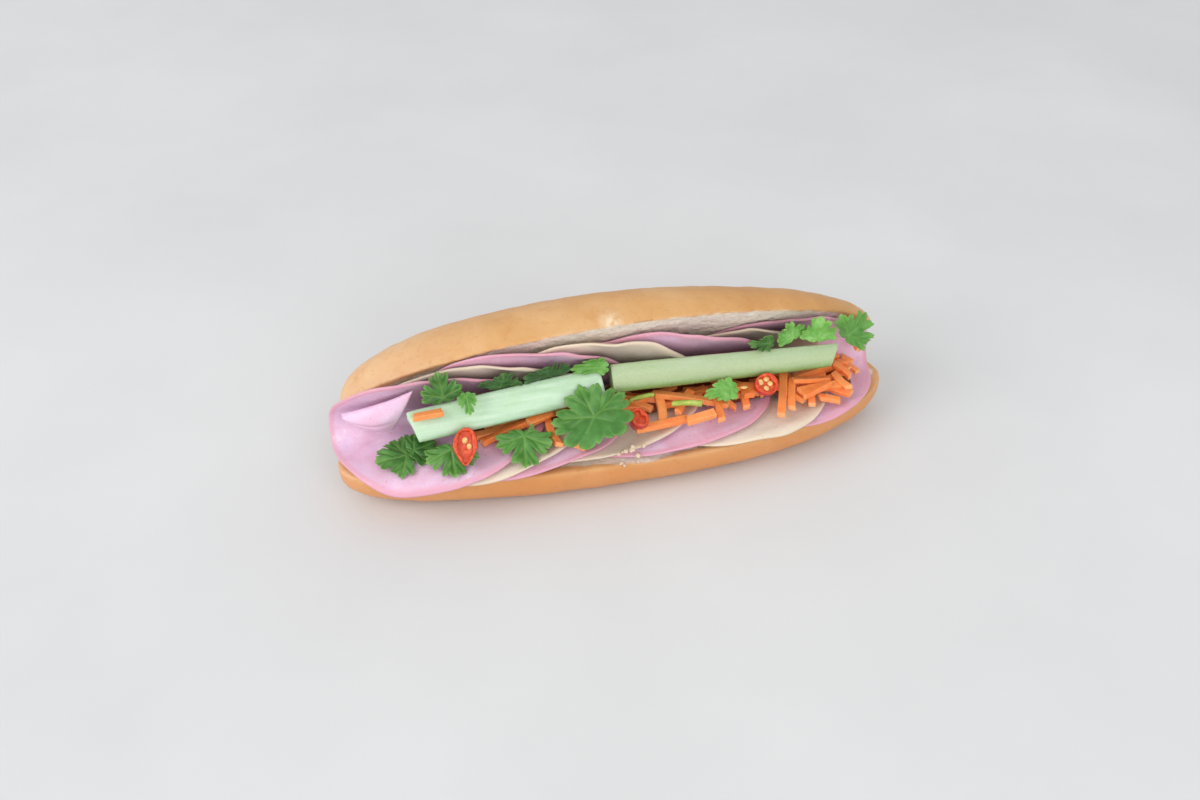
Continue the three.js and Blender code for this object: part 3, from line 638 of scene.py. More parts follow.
# How far the crust curls over the rims, how much further near the tips, and where that sets in and is full.
LOWER_CURL = 3.2
LOWER_TIP_CURL = (3.0, 78, 100)
UPPER_CURL = 0.4
UPPER_LEFT_CURL = (3.0, -52, -84)
UPPER_RIGHT_CURL = (6.0, 88, 104)
ON_FACE = (0.5, 1.3)  # how far off a cut face crumb is still full, and where it is gone
FACING = (0.5, 0.85)  # how squarely it faces as the cut does where crumb sets in, and is full
CRUMB_TEAR = 0.3
CRUMB_SINK = 0.2
PORE_DEPTH = 0.45
PORE_RADIUS = (0.9, 2.6)
PORE_VOLUME = 55  # of bread to each pore
UNDERSIDE = (0.4, 3.0)  # height up to which the roll stays flat, and from which it is quite rough
PALE_END = (-105, -35)  # x up to which the crust is palest, painted light on its left end, and where that ends
BROWN_HEIGHT = (14, 20)  # the same in z and y for the browner front of the lower half
BROWN_FRONT = (2, 20)


def remeshed(points, faces, voxel):
    """One even closed surface round closed bodies that overlap."""
    mesh = bpy.data.meshes.new("rough")
    mesh.from_pydata((points * MM).tolist(), [], faces)
    rough = bpy.data.objects.new("rough", mesh)
    bpy.context.collection.objects.link(rough)
    remesh = rough.modifiers.new("remesh", "REMESH")
    remesh.mode = "VOXEL"
    remesh.voxel_size = voxel * MM
    fine = bpy.data.meshes.new_from_object(rough.evaluated_get(bpy.context.evaluated_depsgraph_get()))
    result = np.empty(len(fine.vertices) * 3)
    fine.vertices.foreach_get("co", result)
    normals = np.empty(len(fine.vertices) * 3)
    fine.vertices.foreach_get("normal", normals)
    quads = [list(polygon.vertices) for polygon in fine.polygons]
    bpy.data.objects.remove(rough)
    return result.reshape(-1, 3) / MM, normals.reshape(-1, 3), quads


def inside_rim(half, x, y):
    """How far a point of the closed half's cut face lies inside its rim, across the roll."""
    return half["half_width"] * width_share(half, x) - np.abs(y - axis_at(half, x))


def cut_share(distance, facing, margin, faded, full):
    """1 on a cut face, 0 off it, where it turns away, and where the rim is nearer than faded."""
    near = 1 - smoothstep(np.abs(distance), *ON_FACE)
    return near * smoothstep(facing, *FACING) * smoothstep(margin, faded, full)


def further_curl(x, most, start, full):
    return most * smoothstep(x, start, full)


def crumb_share(points, normals):
    """1 on the two cut faces, falling to 0 over their rims; the crust curls over the rims near the tips."""
    x = points[:, 0]
    ragged = RAGGED * noise(points, 5, 2)
    bare = np.exp(-((x - LOWER_CRUMB_X) / LOWER_CRUMB_REACH) ** 2)
    curl = LOWER_CURL * (1 - bare) + further_curl(np.abs(x), *LOWER_TIP_CURL)
    margin = inside_rim(LOWER_HALF, x, points[:, 1]) + ragged
    lower = cut_share(points[:, 2] - CUT_HEIGHT, normals[:, 2], margin, curl - 0.6, curl + 1.4)
    distance, along = from_upper_face(points)
    curl = UPPER_CURL + further_curl(x, *UPPER_LEFT_CURL) + further_curl(x, *UPPER_RIGHT_CURL)
    margin = inside_rim(UPPER_HALF, x, HINGE_Y - along) + ragged
    upper = cut_share(distance, normals @ UPPER_FACING, margin, curl - 0.8, curl + 1.6)
    return np.maximum(lower, upper)


def pore_depth(points, rng):
    """Holes of an open crumb: deep in the middle of scattered cells."""
    low, high = points.min(0) - 2, points.max(0) + 2
    seeds = rng.uniform(low, high, (int(np.prod(high - low) / PORE_VOLUME), 3))
    seeds = seeds[seeds[:, 2] > CUT_HEIGHT - 3]
    size = rng.uniform(*PORE_RADIUS, len(seeds))
    tree = KDTree(len(seeds))
    for index, seed in enumerate(seeds):
        tree.insert(seed, index)
    tree.balance()
    depth = np.zeros(len(points))
    for index, point in enumerate(points):
        _, nearest, distance = tree.find(point)
        depth[index] = max(0.0, 1 - (distance / size[nearest]) ** 2)
    return depth


def bread():
    parts = Parts()
    for rings in (roll_half(LOWER_HALF), opened(roll_half(UPPER_HALF))):
        parts.add(*loft(rings))
    points, normals, quads = remeshed(np.concatenate(parts.points), parts.faces, ROLL_VOXEL)
    crumb = crumb_share(points, normals)
    lumps = sum(height * noise(points, size, 2) for height, size in LUMPS)
    inner = crumb > 0.02
    pores = np.zeros(len(points))
    pores[inner] = pore_depth(points[inner], np.random.default_rng(11))
    torn = CRUMB_TEAR * noise(points, 4, 2)
    push = lumps * (1 - crumb) + crumb * (torn - CRUMB_SINK - PORE_DEPTH * pores)
    above_table = smoothstep(points[:, 2], *UNDERSIDE)
    points = points + normals * (push * above_table)[:, None]
    points[:, 2] = np.maximum(points[:, 2], 0)
    flour = np.exp(-(((points - FLOUR_AT) / FLOUR_REACH) ** 2).sum(1)) * (1 - crumb)
    lower = (1 - smoothstep(points[:, 2], *BROWN_HEIGHT)) * (1 - smoothstep(points[:, 1], *BROWN_FRONT))
    painted_light_left = 1 - smoothstep(points[:, 0], *PALE_END)
    values = dict(crumb=crumb, flour=flour, lower=lower, painted_light_left=painted_light_left)
    return make_piece("bread", points, quads, [bread_look()], ["bread_roll"], "bread", values)


# ---------------- the slices

def folded(x, q, offset):
    """A point of the folded stack: q runs over the lower cut face, round the fold and up the other one."""
    turn = np.clip((q + FOLD_HALF) / FOLD_RADIUS, 0, FOLD_TURN)
    radius = FOLD_RADIUS - offset
    past = np.maximum(q - FOLD_HALF, 0)
    y = FOLD_Y + radius * np.sin(turn) + np.minimum(q + FOLD_HALF, 0) - past * math.cos(GAPE)
    z = FOLD_Z - radius * np.cos(turn) + past * math.sin(GAPE)
    return np.stack(np.broadcast_arrays(x, y, z), -1)


def outside_rim(x, y):
    """How far a point lies outside the lower half's rim, seen from above."""
    half = LOWER_HALF
    reach = tip_distance(half, x)
    u = (x - half["widest"]) / reach
    v = (y - axis_at(half, x)) / half["half_width"]
    far = np.maximum(np.hypot(u, v), 1e-6)
    slope = np.maximum(np.hypot(u / reach, v / half["half_width"]), 1e-9)
    return np.where(far <= 1, 0, (far - 1) * far / slope)


# Left slices lie over right ones: kind, x of the middle, half length, q of the middle, half reach.
SLICES = [
    ("ham_slice_1", "ham", -71, 43.2, -2.75, 41.25),
    ("pork_roll_slice_1", "pork_roll", -53, 43.5, -1, 42),
    ("ham_slice_2", "ham", -36.5, 45.5, 1, 43.5),
    ("pork_roll_slice_2", "pork_roll", -9, 44.5, 1, 43),
    ("ham_slice_3", "ham", 17, 48, -0.75, 43.25),
    ("pork_roll_slice_3", "pork_roll", 45.5, 44, -4, 39.5),
    ("ham_slice_4", "ham", 66, 44.5, -1, 37),
]


def disc_reach(along, across):
    """How far a point lies from the middle of a disc: 1 at its rim."""
    n = SLICE_ROUNDNESS
    return (np.abs(along) ** n + np.abs(across) ** n) ** (1 / n)


def past_edge(under, x, q):
    """Distance outside a slice's left edge and its two ends, negative over it and to its right."""
    _, _, x0, half_x, q0, half_q = under
    return (disc_reach(np.minimum(x - x0, 0) / half_x, (q - q0) / half_q) - 1) * half_q


def slice_offset(index, x, q):
    """How far a slice stands off the bread: it lies over all the later ones."""
    offset = SLICE_CLEARANCE
    for under in SLICES[index + 1:]:
        away = past_edge(under, x, q)
        offset = offset + SLICE_PITCH * (1 - smoothstep(away, SLICE_LEAD, SLICE_LEAD + SLICE_RAMP))
    return offset


def uncovered(index, x, q):
    """1 where no slice lies over this one, 0 well under another."""
    free = np.ones(np.shape(x))
    for _, _, x0, half_x, q0, half_q in SLICES[:index]:
        away = (disc_reach((x - x0) / half_x, (q - q0) / half_q) - 1) * half_q
        free = free * smoothstep(away, 1, 7)
    return free


SLICE_RINGS = np.concatenate([np.linspace(0, 0.94, 30), [0.965, 0.98, 0.99, 0.997]])
SLICE_SIDES = 150
OUTLINE_WAVES = (0.012, 0.006)  # of the rims, in their radius: three long ones and eight short ones
RIPPLE = 0.35  # of a whole slice
RIM_RISE = 0.5  # of its free rims, and their own ripple
RIM_RIPPLE = 0.8
EDGE_LIFT = 0.7  # how far a free edge stands off what it lies on
TOP_LIFT = 0.9  # the same up the other cut face
FRONT_REACH = (0.0, 0.3, 1.2, 0.0, 0.6, 1.4, 0.8)  # how far the slices sag over the lower rim
TOP_RETREAT = (0.0, 2.0, 0.0, 0.0, 0.0, 0.0, 0.0)  # of their left parts up the other cut face
TOP_WAVE = 1.3  # of the free edges up the other cut face
CARRIES_BELOW = 31.0  # the filling lies on the slices up to this height
LEANS_ABOVE = 25.0  # and leans on them from this one on


def fold_shade_share(x, q):
    """Painted shade deep in the fold behind the batons: 1 there, 0 at the slices' rims and at both ends of
    the roll.
    """
    in_fold = smoothstep(q, 0, 12) * (1 - smoothstep(q, 29, 42))
    return in_fold * smoothstep(x, -92, -72) * (1 - smoothstep(x, 70, 90))


def slice_faces(index):
    """Rings of both faces of a slice, how near its rim each point is, and how much painted shade the fold
    puts on it.
    """
    _, _, x0, half_x, q0, half_q = SLICES[index]
    angle = np.linspace(0, 2 * math.pi, SLICE_SIDES, endpoint=False)
    radius = SLICE_RINGS[:, None] * np.ones(SLICE_SIDES)
    long, short = OUTLINE_WAVES
    outline = 1 + long * np.sin(3 * angle + index) + short * np.sin(8 * angle + 2 * index)
    reach = radius * np.minimum(outline, 1 + long) / disc_reach(np.cos(angle), np.sin(angle))
    x = x0 + half_x * reach * np.cos(angle)
    q = q0 + (half_q + np.where(np.sin(angle) < 0, FRONT_REACH[index], 0)) * reach * np.sin(angle)
    wavy_edge = smoothstep(q, 5, 30) * radius ** 4
    left_part = smoothstep((x0 - x) / half_x, -0.3, 0.5)
    q = q - wavy_edge * (0.8 + 1.8 * noise(np.stack([x, x * 0 + 31 * index, x * 0], -1), 15, 2))
    q = q - wavy_edge * left_part * TOP_RETREAT[index]
    flat = np.stack([x, q, np.zeros_like(x)], -1)
    free = uncovered(index, x, q)
    near_rim = smoothstep(radius, 0.8, 1.0)
    lift = near_rim ** 2 * free * np.where(q > FOLD_HALF, TOP_LIFT, EDGE_LIFT)
    rim_ripple = RIM_RISE + RIM_RIPPLE * noise(flat + 50 * index, 13)
    ripple = RIPPLE * noise(flat, 24) + near_rim * free * rim_ripple
    ripple += free * smoothstep(q, 8, 26) * TOP_WAVE * (0.3 + noise(flat + 70 * index, 17))
    base = slice_offset(index, x, q) + lift + ripple
    rounding = np.sqrt(1 - smoothstep(radius, 0.965, 1.0) ** 2 * 0.9)
    faces = []
    for side in (1, -1):
        surface = folded(x, q, base + SLICE_THICKNESS * (0.5 + 0.5 * side * rounding))
        past = outside_rim(x, surface[..., 1])
        surface[..., 2] -= np.where(q < 0, RIM_DROOP * past ** 2, 0)
        faces.append(surface)
    return faces[0], faces[1], radius, fold_shade_share(x, q)


def slice_piece(index, looks):
    name, kind = SLICES[index][:2]
    top, bottom, radius, fold_shade = slice_faces(index)
    points, faces = closed_disc(top, bottom)
    values = dict(rim=disc_values(smoothstep(radius, 0.94, 0.985)), fold_shade=disc_values(fold_shade))
    make_piece(name + "_meat", points, faces, [looks[kind]], [name], kind, values)
    return top


def unfolded(points):
    """x, q and offset of points in front of the upper cut face."""
    offset, along = from_upper_face(points)
    return points[..., 0], along - FOLD_RADIUS / math.tan(WEDGE) + FOLD_HALF, offset


def add_in_front(stack, points):
    """Notes how far points stand off the upper cut face."""
    stack.add(np.stack(unfolded(points), -1))


def clear_of_stack(points, stack, clearance):
    """How far each point has to come forward to be clear of what lies on the upper cut face."""
    x, q, offset = unfolded(points)
    return np.maximum(stack.highest(x, q, 2.0) + clearance - offset, 0)


# ---------------- the ham folded over at the left end

FLAP_TOP = [(-108.5, 7, 35.2), (-97, 1.5, 39.5), (-81, -3, 49)]
FLAP_FOOT = [(-108.5, 7, 34), (-101, 4, 24.5), (-90.4, 1.5, 28)]
FLAP_BELLY = 3.5
FLAP_CREASE = (0.9, 0.68, 0.07)  # depth, and where from top to foot its middle and reach are


def quadratic(corners, t):
    a, b, c = (np.array(corner, float) for corner in corners)
    t = np.asarray(t)[..., None]
    return (1 - t) ** 2 * a + 2 * t * (1 - t) * b + t ** 2 * c


def ham_flap(look):
    depth, middle_v, reach_v = FLAP_CREASE
    v = np.linspace(0, 1, 36)
    rings = []
    for here in np.linspace(0, 1, 48):
        top, foot = quadratic(FLAP_TOP, here), quadratic(FLAP_FOOT, here)
        line = top + (foot - top) * v[:, None]
        belly = FLAP_BELLY * np.sin(math.pi * v) * math.sin(math.pi * (0.15 + 0.7 * here))
        crease = depth * np.exp(-((v - middle_v) / reach_v) ** 2) * math.sin(math.pi * min(1, here * 1.1))
        line[:, 1] -= belly - crease
        line[:, 1] += 0.5 * noise(line + 5, 9)
        edge = np.minimum(v, 1 - v) / 0.06
        ends = min(here, 1 - here) / 0.05
        share = np.sqrt(np.clip(1 - (1 - np.clip(np.minimum(edge, ends), 0, 1)) ** 2, 0.05, 1))
        half = np.stack([np.zeros_like(v), SLICE_THICKNESS / 2 * share, np.zeros_like(v)], 1)
        middle = line - [0, SLICE_THICKNESS / 2, 0]
        rings.append(np.concatenate([middle - half, (middle + half)[::-1]]))
    make_piece("ham_flap_meat", *loft(rings), [look], ["ham_flap"], "ham")


# ---------------- cucumber

BATONS = [
    dict(name="cucumber_baton_left", start=(-83, -9.5, 36), end=(-9.5, -7.2, 42.2),
         width=12.6, depth=9.5, thinning=0.0, slants=(1.5, 0.5), skin_from=(0.3, 0.5), ripe=0.0),
    dict(name="cucumber_baton_right", start=(-5.5, -6.2, 42.6), end=(86.5, -6.4, 38),
         width=11.4, depth=9.0, thinning=0.17, slants=(0.0, -2.0), skin_from=(-0.1, 0.5), ripe=1.0),
]
BATON_TILT = math.radians(40)
BATON_STATIONS = 60
# Distance from an end, and the section's size there.
BATON_END = np.array([(0, 0.55), (0, 0.9), (0.15, 0.965), (0.5, 0.99), (1.0, 1.0)])
SKIN_ON_ENDS = 0.3
BATON_SECTION = np.array([
    (0.46, 0.42), (0.5, 0.2), (0.42, -0.3), (0.2, -0.5), (-0.15, -0.46),
    (-0.38, -0.24), (-0.5, 0.06), (-0.47, 0.3), (-0.3, 0.46), (0.1, 0.5),
])


def rounded_outline(corners, per_side):
    """A smooth closed line near the corners of a polygon."""
    line = []
    count = len(corners)
    for index in range(count):
        a, b, c, d = (corners[(index + k) % count] for k in (-1, 0, 1, 2))
        for t in np.linspace(0, 1, per_side, endpoint=False):
            line.append(0.5 * (2 * b + (c - a) * t + (2 * a - 5 * b + 4 * c - d) * t * t
                               + (3 * b - a - 3 * c + d) * t ** 3))
    return np.array(line)


def baton(look, name, start, end, width, depth, thinning, slants, skin_from, ripe):
    start, end = np.array(start, float), np.array(end, float)
    section = rounded_outline(BATON_SECTION, 5)
    up_face = np.array([0, math.sin(BATON_TILT), math.cos(BATON_TILT)])
    out_face = np.array([0, -math.cos(BATON_TILT), math.sin(BATON_TILT)])
    length = np.linalg.norm(end - start)
    inset = BATON_END[:, 0] / length
    shrunk = BATON_END[:, 1]
    along = np.concatenate([inset, np.linspace(0.03, 0.97, BATON_STATIONS), 1 - inset[::-1]])
    shrink = np.concatenate([shrunk, np.ones(BATON_STATIONS), shrunk[::-1]])
    rings, skins, ripes = [], [], []
    for t, share in zip(along, shrink):
        swell = (0.9 + 0.1 * math.sin(math.pi * (0.15 + 0.75 * t))) * (1 - thinning * t)
        slant = -2 * (slants[0] * smoothstep(1 - t, 0.8, 1) + slants[1] * smoothstep(t, 0.8, 1))
        ring = (start + (end - start) * t + np.outer(section[:, 0] * width * swell * share, up_face)
                + np.outer(section[:, 1] * depth * swell * share, out_face))
        ring[:, 0] += slant * section[:, 0]
        rings.append(ring)
        low = -section[:, 0] - 0.35 * section[:, 1]
        skins.append(smoothstep(low, *skin_from))
        ripes.append(ripe * (0.7 + 0.3 * smoothstep(low, -0.5, 0.1)))
    rings = np.array(rings)
    rings[..., 1:] += 0.12 * noise(rings, 6)[..., None]
    points, faces = loft(rings)
    skin = np.concatenate([np.ravel(skins), [0, 0]])
    on_end = (len(BATON_END) - 1) * len(section)
    skin[:on_end] *= SKIN_ON_ENDS
    skin[-on_end - 2:] *= SKIN_ON_ENDS
    values = dict(skin=skin, ripe=np.concatenate([np.ravel(ripes), [ripe, ripe]]))
    return make_piece(name + "_flesh", points, faces, [look], [name], "cucumber", values)


# ---------------- carrot

BED = dict(left=-62.0, right=97.0, middle_y=-3.6, half_width=6.4, under_baton=10.5, lift=0.5, edge=0.8)

BED_SHREDS = [
    (-31.5, -10, -29.5, -23), (-58, -14, -30.5, -9.5), (-39.5, -12.5, -29.5, -10.5),
    (27, -8, 19, -17), (37, -8, 43, -17), (49, -9.5, 47, -18),
    (85, -2, 98, 3), (90, 6, 96, -4), (84, 3, 95, 6), (98, 3, 102, -1),
    (62, -9, 72, -17), (77, -9, 74, -20), (81, -10, 93, -15), (78, -17, 87, -18), (70, -15, 89, -13),
    (13.5, -8, 12, -20), (0.5, -23, 22, -20), (11.5, -8.5, 40, -16.5), (35.5, -15, 34.6, -24.5),
    (45, -9, 53, -12), (46.5, -13.5, 51.5, -15.5),
    (69.5, -8.5, 64.5, -22), (68.5, -11, 85, -9.5), (70.5, -18.5, 83.5, -13.5), (66.5, -5.5, 59.5, -24),
    (71.5, -6, 97, 0.5), (90, -2.5, 94.5, -9), (88, -6.5, 90.5, -17),
    (98, 8, 101.5, 5), (103, 11.5, 103.5, 4),
]
LOOSE_SHREDS = [
    ("carrot_shred_front", (-25, -22.5, -20, -25)),
    ("carrot_shred_low", (20.5, -24.5, 31.6, -24)),
]
SHRED_ON_BATON = ("carrot_shred_on_cucumber", (-82.5, -13, -71.5, -12.6))
FILLING = dict(left=-54.0, right=92.0, step=3.2, y=(-9.5, -4.0), front=-11.5, length=(9, 19), turn=0.42)
STRAND_REACH = 2.0
STRAND_DROOP = 1.0  # of the ends of a strand that lies on its middle
STEEPEST_STRAND = 0.3
STRAND_CHAMFER = 0.18  # of a strand's ends: its length, and the section's size there
STRAND_END = 0.84
SLANT_REACH = 2.0  # from the ends, how far their slant is felt
SHRED_SINK = 1.5


def baton_height(x):
    heights = []
    for shape in BATONS:
        along = (x - shape["start"][0]) / (shape["end"][0] - shape["start"][0])
        heights.append(shape["start"][2] + (shape["end"][2] - shape["start"][2]) * along)
    return np.where(x < BATONS[1]["start"][0], heights[0], heights[1])


def bed_core(ground):
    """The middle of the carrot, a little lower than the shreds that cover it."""
    columns, rows = 60, 20
    across = np.linspace(-1, 1, rows)
    rings = []
    for along in np.linspace(-1, 1, columns):
        x = BED["left"] + (BED["right"] - BED["left"]) * (along + 1) / 2
        narrowing = math.sqrt(max(1 - abs(along) ** 6, 0.12))
        y = BED["middle_y"] + BED["half_width"] * narrowing * across
        floor = ground.highest(np.full(rows, x), y, 3.0) + BED["lift"]
        crest = np.maximum(baton_height(np.array(x)) - BED["under_baton"] - 0.6, floor + BED["edge"])
        rise = (1 - np.abs(across) ** 4) * narrowing
        top = floor + BED["edge"] + (crest - floor - BED["edge"]) * rise
        top += 0.5 * noise(np.stack([np.full(rows, x), y * 2, top], 1), 4)
        line = np.stack([np.full(rows, x), y, top], 1)
        under = np.stack([np.full(rows, x), y, floor], 1)
        rings.append(np.concatenate([line, under[::-1]]))
    return loft(rings)


def resting_line(t, top, steepest):
    """Heights of both ends of a straight stick whose middle lies as low as what is under it allows."""
    slopes = np.linspace(-steepest, steepest, 25)
    middles = (top - slopes[:, None] * (t - 0.5)).max(1)
    best = np.argmin(middles + 0.02 * np.abs(slopes))
    return middles[best] - slopes[best] / 2, middles[best] + slopes[best] / 2


def strand(line, section, top_at, rng, stations=14, bend=0.0, slant=0.0):
    """A stiff strand laid on what is under it. top_at gives the heights that it has to clear."""
    x1, y1, x2, y2 = line
    length = math.hypot(x2 - x1, y2 - y1)
    chamfer = STRAND_CHAMFER / length
    t = np.concatenate([[0], np.linspace(chamfer, 1 - chamfer, stations), [1]])
    x, y = x1 + (x2 - x1) * t, y1 + (y2 - y1) * t
    along = np.array([x2 - x1, y2 - y1]) / length
    across = np.array([-along[1], along[0]])
    sway = bend * np.sin(math.pi * t)
    x, y = x + across[0] * sway, y + across[1] * sway
    top = np.maximum(top_at(x, y), CUT_HEIGHT)
    first, last = resting_line(t, top, STEEPEST_STRAND * length)
    under = first + (last - first) * t
    off_middle = 4 * (t - 0.5) ** 2
    droop = ((under - top) / np.maximum(off_middle, 1e-3)).min()
    under = under - np.clip(droop, 0, STRAND_DROOP) * off_middle
    share = np.ones(len(t))
    share[[0, -1]] = STRAND_END
    end = np.where(t < 0.5, 1, -1) * np.clip(1 - np.minimum(t, 1 - t) * length / SLANT_REACH, 0, 1)
    turn = rng.uniform(-0.25, 0.25) + rng.uniform(-0.3, 0.3) * t
    half = section[:, 1].max() / 2
    rings = []
    for k in range(len(t)):
        side = section[:, 0] * math.cos(turn[k]) - (section[:, 1] - half) * math.sin(turn[k])
        up = section[:, 0] * math.sin(turn[k]) + (section[:, 1] - half) * math.cos(turn[k])
        push = slant * side * end[k]
        rings.append(np.stack([
            x[k] + across[0] * side * share[k] + along[0] * push,
            y[k] + across[1] * side * share[k] + along[1] * push,
            under[k] + half + up * share[k],
        ], 1))
    rings = np.array(rings)
    return rings + 0.1 * noise(rings + rng.uniform(0, 500), 2.5)[..., None]


def shred_section(rng, width=SHRED_WIDTH, thickness=SHRED_THICKNESS):
    """A cut stick's section: four sides, never quite square, with narrow bevels."""
    half, top = width / 2 * rng.uniform(0.72, 0.98), thickness * rng.uniform(0.7, 0.95)
    corners = np.array([(-half, 0), (half, 0), (half, top), (-half, top)]) + rng.uniform(-0.25, 0.25, (4, 2))
    corners[:, 1] -= corners[:, 1].min()
    line = []
    for index in range(4):
        here, after = corners[index], corners[(index + 1) % 4]
        bevel = 0.22 / np.linalg.norm(after - here)
        line += [here + (after - here) * share for share in (bevel, 0.5, 1 - bevel)]
    return np.array(line)


def shred_values(rings, rng):
    """A colour tone for the whole stick and, for its cut ends, how near they are."""
    near_end = np.zeros(rings.shape[:2])
    near_end[[0, -1]] = 1
    return dict(tone=rng.uniform(0.1, 1.0), cut=np.concatenate([near_end.ravel(), [1, 1]]))


def filling_shreds(rng):
    """Lines of the many short shreds that cover the front of the bed."""
    lines = []
    for x in np.arange(FILLING["left"], FILLING["right"], FILLING["step"]):
        length = rng.uniform(*FILLING["length"])
        heading = rng.normal(0, FILLING["turn"])
        y = rng.uniform(*FILLING["y"])
        dx, dy = length / 2 * math.cos(heading), length / 2 * math.sin(heading)
        lines.append((x - dx, max(y - dy, FILLING["front"]), x + dx, max(y + dy, FILLING["front"])))
    return lines


def carrot_heap(look, ground):
    rng = np.random.default_rng(23)
    parts = Parts()
    core, core_faces = bed_core(ground)
    parts.add(core, core_faces, tone=0.0, cut=0.0, shade=1.0)
    heap = Ground()
    heap.add(core)

    def top_at(x, y):
        return np.maximum(ground.highest(x, y, 1.2) + GAP, heap.highest(x, y, 0.9) - SHRED_SINK)

    def lay(lines):
        laid = []
        for line in lines:
            bend, slant = rng.uniform(-0.8, 0.8), rng.uniform(-0.5, 0.5)
            rings = strand(line, shred_section(rng), top_at, rng, bend=bend, slant=slant)
            parts.add(*loft(rings), **shred_values(rings, rng), shade=0.0)
            laid.append(rings)
        return laid

    for rings in lay(filling_shreds(rng)):
        heap.add(rings)
    for line in BED_SHREDS:
        heap.add(lay([line])[0])
    parts.piece("carrot_shreds", [look], ["carrot_heap"], "carrot", crease=40)
    ground.add(np.concatenate(parts.points))


def on_ground(ground):
    return lambda x, y: ground.highest(x, y, STRAND_REACH) + GAP


def laid_shred(look, name, line, ground, rng):
    rings = strand(line, shred_section(rng), on_ground(ground), rng, slant=0.2)
    parts = Parts()
    parts.add(*loft(rings), **shred_values(rings, rng), shade=0.0)
    parts.piece(name + "_stick", [look], [name], "carrot", crease=40)
    ground.add(rings)


# ---------------- chilli

CHILLI_SLICES = [
    dict(name="chilli_slice_1", at=(-65, -20.6), half=(4.8, 7.4), height=3.0, heading=-10, tilt=42,
         point=0.45, seeds=[(-0.05, 0.32), (0.3, 0.02)]),
    dict(name="chilli_slice_2", at=(2, -19.8), half=(3.6, 4.2), height=5.5, heading=20, tilt=25,
         point=0, seeds=[]),
    dict(name="chilli_slice_3", at=(55.2, -15), half=(5.0, 4.5), height=3.0, heading=10, tilt=32,
         point=0, seeds=[(-0.4, 0.35), (0.15, 0.45), (0.3, -0.05), (-0.15, -0.35)]),
]
# The wall's section: inset from the skin, and height as a distance from the nearer cut face.
CHILLI_PROFILE = [
    (0.0, 0.5), (0.12, 0.15), (0.4, 0.0), (1.1, 0.05), (1.4, 0.4), (1.5, 1.0),
    (1.5, -1.0), (1.4, -0.4), (1.1, -0.05), (0.4, 0.0), (0.12, -0.15), (0.0, -0.5),
]
SKIN_INSET = 0.3  # the wall's faces nearer the outside than this are skin
WEB_INSET = 0.7  # of the flesh that fills the ring, and its depths under the upper cut face
WEB_TOP = 1.45
WEB_BOTTOM = 2.5
SEED_DEPTH = 1.1  # of the seeds' middles, in the same way


def rotation(tilt, heading):
    """Turned about Z by heading, then about X by tilt, in degrees."""
    a, b = math.radians(tilt), math.radians(heading)
    about_x = np.array([(1, 0, 0), (0, math.cos(a), -math.sin(a)), (0, math.sin(a), math.cos(a))])
    about_z = np.array([(math.cos(b), -math.sin(b), 0), (math.sin(b), math.cos(b), 0), (0, 0, 1)])
    return about_x @ about_z


def chilli_outline(half, point, inset, angle):
    narrowing = 1 - point * np.maximum(-np.sin(angle), 0)
    return np.stack([(half[0] - inset) * np.cos(angle) * narrowing, (half[1] - inset) * np.sin(angle)], -1)


def chilli_wall(half, height, point, angle):
    """The wall's points and faces, with 0 for the faces of the skin and 1 for the others."""
    wall = []
    for number, (inset, level) in enumerate(CHILLI_PROFILE):
        upper = number >= len(CHILLI_PROFILE) // 2
        inset = inset * (1 + 0.35 * np.sin(2 * angle + 1) + 0.2 * np.sin(5 * angle))
        wobble = 1 - 0.03 + 0.03 * np.sin(3 * angle + half[0])
        outline = chilli_outline(half, point, inset, angle) * wobble[:, None]
        wall.append(np.column_stack([outline, np.full(len(angle), height + level if upper else level)]))
    points = np.transpose(wall, (1, 0, 2)).reshape(-1, 3)
    around = len(wall)
    faces = []
    for low in range(0, len(points), around):
        faces += band(low, (low + around) % len(points), around)
    insets = np.array(CHILLI_PROFILE)[:, 0]
    inner = np.maximum(insets, np.roll(insets, -1)) >= SKIN_INSET
    return points, faces, inner.astype(int).tolist() * len(angle)


def chilli_slice(looks, name, at, half, height, heading, tilt, point, seeds):
    rng = np.random.default_rng(200 + int(at[0]))
    angle = np.linspace(0, 2 * math.pi, 48, endpoint=False)
    turn = rotation(tilt, heading)
    parts = Parts()
    points, faces, wall_looks = chilli_wall(half, height, point, angle)
    parts.add(points @ turn.T, faces)
    parts.looks = wall_looks
    rim = chilli_outline(half, point, WEB_INSET, angle)
    web = np.zeros((8, len(angle), 3))
    web[..., :2] = rim * np.linspace(0, 1, 8)[:, None, None]
    top, bottom = web.copy(), web.copy()
    top[..., 2] = height - WEB_TOP + 0.25 * noise(web + 9 * at[0], 1.6)
    bottom[..., 2] = height - WEB_BOTTOM
    points, faces = closed_disc(top, bottom)
    parts.add(points @ turn.T, faces, look=1)
    for along, across in seeds:
        seed = seed_body(rng) + [along * half[0], across * half[1], height - SEED_DEPTH]
        parts.add(*loft(seed @ turn.T), look=2)
    lowest = np.concatenate(parts.points)[:, 2].min()
    lift = np.array([at[0], at[1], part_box(name)[0][2] / MM - lowest])
    parts.points = [points + lift for points in parts.points]
    parts.piece(name + "_ring", looks, [name], "chilli")
    return np.concatenate(parts.points)


SEED_RADIUS = (1.1, 1.5)
SEED_THICKNESS = 0.84


def seed_body(rng):
    """A flat round seed, as rings from pole to pole."""
    radius = rng.uniform(*SEED_RADIUS)
    body = unit_ball(7, 12, 0.12) * (radius * rng.uniform(0.8, 1.0), radius, SEED_THICKNESS / 2)
    lean = rotation(rng.uniform(-25, 25), rng.uniform(0, 360))
    return body @ lean.T
